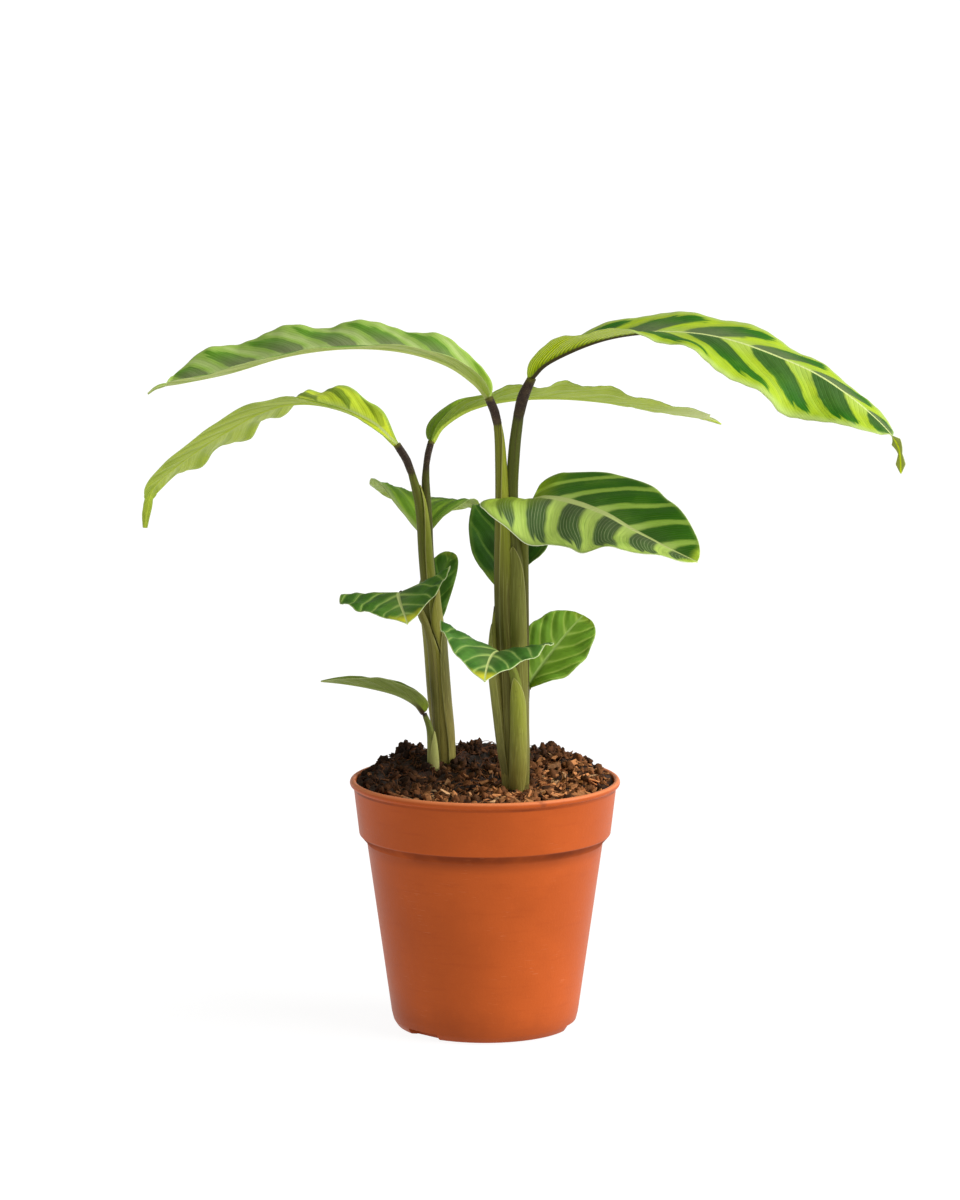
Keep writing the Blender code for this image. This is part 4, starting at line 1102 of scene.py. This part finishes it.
def build_hairs():
    """Short soft hairs on the joints and on the ends of the stalks that carry them."""
    rng = random.Random(SEED + 4)
    hosts = [fine_rows(stations, JOINT_STEP) for stations in PULVINI.values()]
    for node, stalk in HAIRY_STALKS:
        rows = fine_rows(CLUMPS[node][stalk], JOINT_STEP)
        hosts.append(rows[-len(rows) // HAIRY_END:])
    hosts = [(rows, *carried_frames(rows[:, :3])) for rows in hosts]
    faces = [[0, 1, 3], [1, 2, 3], [2, 0, 3], [2, 1, 0]]
    parts = []
    for index in range(HAIR_COUNT):
        rows, a, b = hosts[index % len(hosts)]
        row = rng.randrange(2, len(rows) - 2)
        angle = rng.uniform(0, math.tau)
        outward = a[row] * math.cos(angle) + b[row] * math.sin(angle)
        beside = b[row] * math.cos(angle) - a[row] * math.sin(angle)
        ahead = np.cross(outward, beside)
        root = rows[row, :3] + outward * (rows[row, 3] - 0.1)
        tip = (root + outward * rng.uniform(*HAIR_LENGTHS)
               + ahead * rng.uniform(-HAIR_LEAN, HAIR_LEAN))
        sides = [math.tau * turn / 3 for turn in range(3)]
        points = [root + (ahead * math.cos(side) + beside * math.sin(side)) * HAIR_RADIUS
                  for side in sides]
        parts.append((points + [tip], faces, {}))
    new_piece("joint_hairs", parts, hair_material(), "pulvinus")


def outline(fractions, swell, drip):
    """Share of the full half width along the blade: rounded base, drawn-out tip."""
    base, tip = swell
    widest = base / (base + tip)
    full = widest ** base * (1 - widest) ** tip
    s = np.minimum(fractions / (1 - drip), 1)
    return s ** base * (1 - s) ** tip / full


def lobe_fall(s, end):
    """1 at the blade's base, falling to 0 at the lobe's end."""
    return np.clip(1 - s / end, 0, 1) ** LOBE_POWER


def blade_grid(leaf):
    """The blade's middle surface from left edge to right edge, and what its maps need."""
    path = smooth_path(leaf["midrib"], 200)
    _, length = length_fractions(path)
    even = np.linspace(0, 1, max(60, round(length / BLADE_ROW_STEP)) + 1)
    s = (1 - END_CROWDING) * even + END_CROWDING * (0.5 - 0.5 * np.cos(math.pi * even))
    centre = along(path, s)
    tangent = unit(along(path, np.clip(s + 0.004, 0, 1)) - along(path, np.clip(s - 0.004, 0, 1)))
    heading = math.radians(leaf["heading"])
    level = np.array([math.sin(heading), -math.cos(heading), 0.0])
    across = unit(level - tangent * (tangent @ level)[:, None])
    normal = np.cross(across, tangent)
    roll = np.radians(np.interp(s, *zip(*leaf["twist"])))[:, None]
    across, normal = (across * np.cos(roll) + normal * np.sin(roll),
                      normal * np.cos(roll) - across * np.sin(roll))
    ends = np.interp(s, *zip((0.0, leaf["stem"]), *leaf["tail"]))
    count, height, phase = leaf["waves"]
    half = BLADE_HALF_COLUMNS
    v = (np.arange(half + 1) / half) ** COLUMN_CROWDING
    grid = np.empty((len(s), 2 * half + 1, 3))
    share = np.empty(grid.shape[:2])
    reach = np.empty(grid.shape[:2])
    for index, (side, key, shift) in enumerate(((-1, "left", 0.0), (1, "right", RIGHT_SHIFT))):
        shape = outline(s, leaf.get("swell_" + key, leaf["swell"]), leaf["drip"])
        width = np.sqrt((leaf[key] * shape) ** 2 + ends ** 2)
        full = np.minimum(width / leaf[key], 1)
        ripple = sum(part * np.sin(math.tau * (often * count * s + late * phase + apart * shift))
                     for part, often, late, apart in (*COARSE_WAVES, (leaf["frill"], *FINE_WAVES)))
        calm = np.atleast_1d(leaf["calm"][index])
        ripple *= full * np.clip(width / 6, 0, 1) * np.interp(s, np.linspace(0, 1, len(calm)), calm)
        back = leaf["lobes"][index] * lobe_fall(s, leaf["lobe_end"]) * full
        lift = np.radians(keyed(leaf["lift_" + key], s))
        angle = lift[:, None] + 0.5 * math.radians(leaf["curl"][index]) * v
        out = side * width[:, None] * v * np.cos(angle)
        up = width[:, None] * v * np.sin(angle) + height * ripple[:, None] * v * v
        places = half + side * np.arange(half + 1)
        grid[:, places] = (centre[:, None] + across[:, None] * out[..., None]
                           + normal[:, None] * up[..., None]
                           - tangent[:, None] * (back[:, None] * v ** 1.3)[..., None])
        share[:, places] = v
        reach[:, places] = width[:, None] * v
    width = np.stack([reach[:, 0]] * half + [reach[:, -1]] * (half + 1), 1)
    return grid, s[:, None], share, reach, width, length


def build_blade(name, leaf, look):
    grid, s, share, reach, width, length = blade_grid(leaf)
    right = (np.arange(grid.shape[1]) >= BLADE_HALF_COLUMNS).astype(float)
    (near, far), (right_near, right_far) = look["sweep"]
    lean = np.where(right > 0, right_near + right_far * share, near + far * share)
    phase = look["bands"] * (s - reach / length * lean) + look["shift"]
    phase -= look["lobe_bands"] * lobe_fall(s, LOBE_SHARE) * share * right
    pleat = np.cos(math.tau * phase) * QUILT_HEIGHT + np.cos(math.tau * 3 * phase) * PLEAT_HEIGHT
    pleat *= np.clip(reach / 5, 0, 1) * np.clip((width - reach) / 2, 0, 1)
    rib = np.exp(-(reach / (0.35 + 0.75 * (1 - s))) ** 2)
    keel = rib * (KEEL_TIP + KEEL_BASE * (1 - s) ** 1.6)
    groove = rib * GROOVE_DEPTH * (1 - s)
    half_thick = BLADE_THICKNESS / 2 * (1 - EDGE_THINNING * share ** 10)
    normals = unit(np.cross(np.gradient(grid, axis=1), np.gradient(grid, axis=0)))
    points, faces, maps = sheet(
        grid + normals * (pleat + half_thick - groove)[:, :, None],
        grid + normals * (pleat - half_thick - keel)[:, :, None],
        {"vein": (phase, share), "reach": (reach / 10, (width - reach) / 10),
         "run": (s, s * length / 100), "half": (1.0, right)})
    maps["half"][len(points) // 2:, 0] = 0.0
    new_piece("leaf_" + name, [(points, faces, maps)], blade_material("blade_" + name, look),
              "blade", "blade_" + name)


def zebra_mask(t, look, phase, across, right, wide, feather):
    """How dark the banding is: broad wedges from the midrib that taper and fork near the margin."""
    band = phase + (wide - 0.5) * look["wander"]
    rough = (feather - 0.5) * across.ramp(0.1, 0.9, look["ragged"], 0.15)
    apart = band.zigzag() + rough
    full = t.pair(right, look["breadth"])
    fade = t.pair(right, look["fade"])
    breadth = (across.ramp(0.0, look["rise"], 1.0, look["start"]) * full
               - across.ramp(fade - 0.25, fade + 0.2) * full)
    dark = apart.ramp(breadth + look["soft"], breadth - look["soft"])
    fork = across.ramp(fade - 0.3, fade + 0.15, 0.34, -0.12)
    beside = (band + 0.07).zigzag() + rough * 0.6
    split = beside.ramp(fork + 0.07, fork - 0.07)
    return dark * (1 - split * look["fork"]), apart


def upper_face(t, look, phase, across, right, dark, apart, fine, feather, wide):
    # Painted shade: where a look asks for it, one half's light bands are dulled towards mid because
    # that half is turned from the light.
    light = t.coats(look["light"], (feather.ramp(0.4, 0.8, 0.5), look["mid"]),
                    (wide.ramp(0.5, 0.75, 0.4), look["mid"]),
                    (t.pair(right, look["painted_shade_on_half"]), look["mid"]),
                    (across.ramp(0.35, 0.05, look["pale_share"]), look["pale"]),
                    (apart.ramp(look["vein_from"], 1.04, look["vein"]), look["pale"]))
    # Painted sheen: grey laid over the dark bands near the midrib, and over all of one half where a
    # look asks for it, stands in for the sheen of the velvety blade.
    painted_sheen = (across.ramp(look["painted_sheen_reach"], 0.08, t.pair(right, look["painted_sheen_share"]))
             + t.pair(right, look["painted_sheen_on_half"]))
    deep = t.coats(look["dark"], (wide.ramp(0.4, 0.7, 0.5), look["deep"]),
                   (across.ramp(0.3, 0.85, look["vivid_share"]), look["vivid"]),
                   (wide.ramp(0.54, 0.34, look["mottle"]), look["mid"]),
                   (feather.ramp(0.55, 0.85, 0.4), look["mid"]), (painted_sheen, look["painted_sheen"]),
                   (fine.ramp(0.5, 0.3, 0.25), look["deep"]))
    face = t.mix(dark * look["contrast"], light, deep)
    veinlet = (phase * 11 + wide * 1.6).zigzag().ramp(0.6, 1.1)
    strength = (t.pair(right, look["veinlets"]) * feather.ramp(0.3, 0.6, 1.0, 0.45)
                * across.ramp(0.1, 0.5, 1.0, 0.4) * (0.25 + dark * 0.75))
    return t.mix(veinlet * strength, face, look["veinlet"]), veinlet


def under_face(t, look, phase, dark, wide, fine, fraction, from_rib):
    pleats = (phase * look["pleats"]).zigzag()
    face = t.coats(look["under"], (dark * look["show_through"], look["under_dark"]),
                   (wide.ramp(0.4, 0.7, 0.6), look["under_dark"]),
                   (pleats.ramp(0.35, 0.95, look["pleat_share"]), look["pleat"]),
                   (fraction.ramp(0.28, 0.55, look["far_share"]), look["under_far"]),
                   (from_rib.ramp(0.4, 0.05, look["keel_shade"]), look["pleat"]),
                   (fine.ramp(0.5, 0.8, 0.12), look["pale"]))
    return face, pleats


def blade_material(name, look):
    t = Tree(name + "_skin", 0.5, 0.12, (0.03, 0.35, "#d7eba0"))
    phase, across = t.uv("vein")
    from_rib, from_edge = t.uv("reach")
    top, right = t.uv("half")
    fraction, _ = t.uv("run")
    place = t.place()
    wide = t.noise(place, 55, 3, 0.55)
    fine = t.noise(place, 420, 3, 0.6)
    grain = t.noise(place, 2200)
    feather = t.noise(t.combine(phase * 13, across * 2.4, right * 5), 1, 3, 0.65)
    dark, apart = zebra_mask(t, look, phase, across, right, wide, feather)
    upper, veinlet = upper_face(t, look, phase, across, right, dark, apart, fine, feather, wide)
    under, pleats = under_face(t, look, phase, dark, wide, fine, fraction, from_rib)

    ragged = fraction + ((wide - 0.5) * 0.1 + (fine - 0.5) * 0.02)
    base_colour, base_end, base_share = look["base"]
    tip_colour, tip_start, tip_share = look["tip"]
    rim = (from_edge + fine * 0.03).ramp(look["rim"] / 10, 0.04, t.pair(right, look["rim_share"]))
    reach = fraction.ramp(0.0, 1.0, 0.05, look["rib_width"] / 10)
    keel = t.mix(fraction.ramp(look["keel_reach"], look["keel_reach"] + 0.2), look["keel"],
                 look["under"])
    base = t.coats(t.mix(top, under, upper),
                   (ragged.ramp(base_end, 0.0, base_share), base_colour),
                   (ragged.ramp(tip_start, tip_start + look["tip_reach"], tip_share), tip_colour),
                   (rim * (0.2 + top * 0.8), look["margin"]),
                   (from_edge.ramp(0.042, 0.012, look["edge_share"]), look["edge"]),
                   (from_rib.ramp(reach, reach * 0.6), t.mix(top, keel, look["rib"])))
    t.feed(t.shader, {"Roughness": (fine * 0.7 + top * 0.3).ramp(0.3, 0.9, 0.6, 0.4)})
    height = veinlet * -0.5 + (fine * 0.2 + grain * 0.08)
    return t.finish(base, height + (1 - top) * pleats * -0.5, 0.0003, 0.7)


def build_blades():
    for name, leaf in LEAVES.items():
        build_blade(name, {**PLAIN_LEAF, **leaf}, {**PLAIN_LOOK, **LOOKS[name]})


def floor_material():
    """A pale surface that glows a little itself, so that shadows on it stay faint."""
    t = Tree("studio_floor", 0.8, 0.1)
    t.feed(t.shader, {"Emission Color": "#ffffff", "Emission Strength": FLOOR_GLOW})
    return t.finish(t.mix(t.noise(t.place(), 3, 3), "#626261", "#686868"))


def build_stage():
    material = floor_material()
    ring = dict(vertices=FLOOR_SIDES, radius=FLOOR_RADIUS)
    bpy.ops.mesh.primitive_circle_add(fill_type="NGON", **ring)
    bpy.context.object.name = "studio_floor"
    bpy.ops.mesh.primitive_cylinder_add(depth=WALL_HEIGHT, end_fill_type="NOTHING",
                                        location=(0, 0, WALL_HEIGHT / 2), **ring)
    bpy.context.object.name = "studio_wall"
    for name in ("studio_floor", "studio_wall"):
        piece = bpy.data.objects[name]
        piece.data.materials.append(material)
    world = bpy.data.worlds.new("studio")
    world.use_nodes = True
    background = world.node_tree.nodes["Background"]
    background.inputs["Color"].default_value = (1, 1, 1, 1)
    background.inputs["Strength"].default_value = SKY_STRENGTH
    bpy.context.scene.world = world
    light = bpy.data.lights.new("key", "SUN")
    light.energy = KEY_STRENGTH
    light.angle = math.radians(KEY_SOFTNESS)
    key = link(bpy.data.objects.new("key", light))
    key.rotation_euler = Vector(KEY_DIRECTION).to_track_quat("Z", "Y").to_euler()
    bpy.context.scene.view_settings.view_transform = "Standard"


def build_camera():
    camera = bpy.data.cameras.new("camera")
    camera.lens = CAMERA_LENS
    camera.clip_end = CAMERA_REACH
    obj = link(bpy.data.objects.new("camera", camera))
    obj.location = mm(*CAMERA_PLACE)
    obj.rotation_euler = (math.radians(90 - CAMERA_PITCH), 0, 0)
    bpy.context.scene.camera = obj


def main():
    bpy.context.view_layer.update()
    build_camera()
    build_stage()
    build_pot()
    build_soil_bed()
    build_crumbs()
    build_chips()
    build_fibres()
    build_stalks()
    build_sheaths()
    build_pulvini()
    build_hairs()
    build_blades()


main()
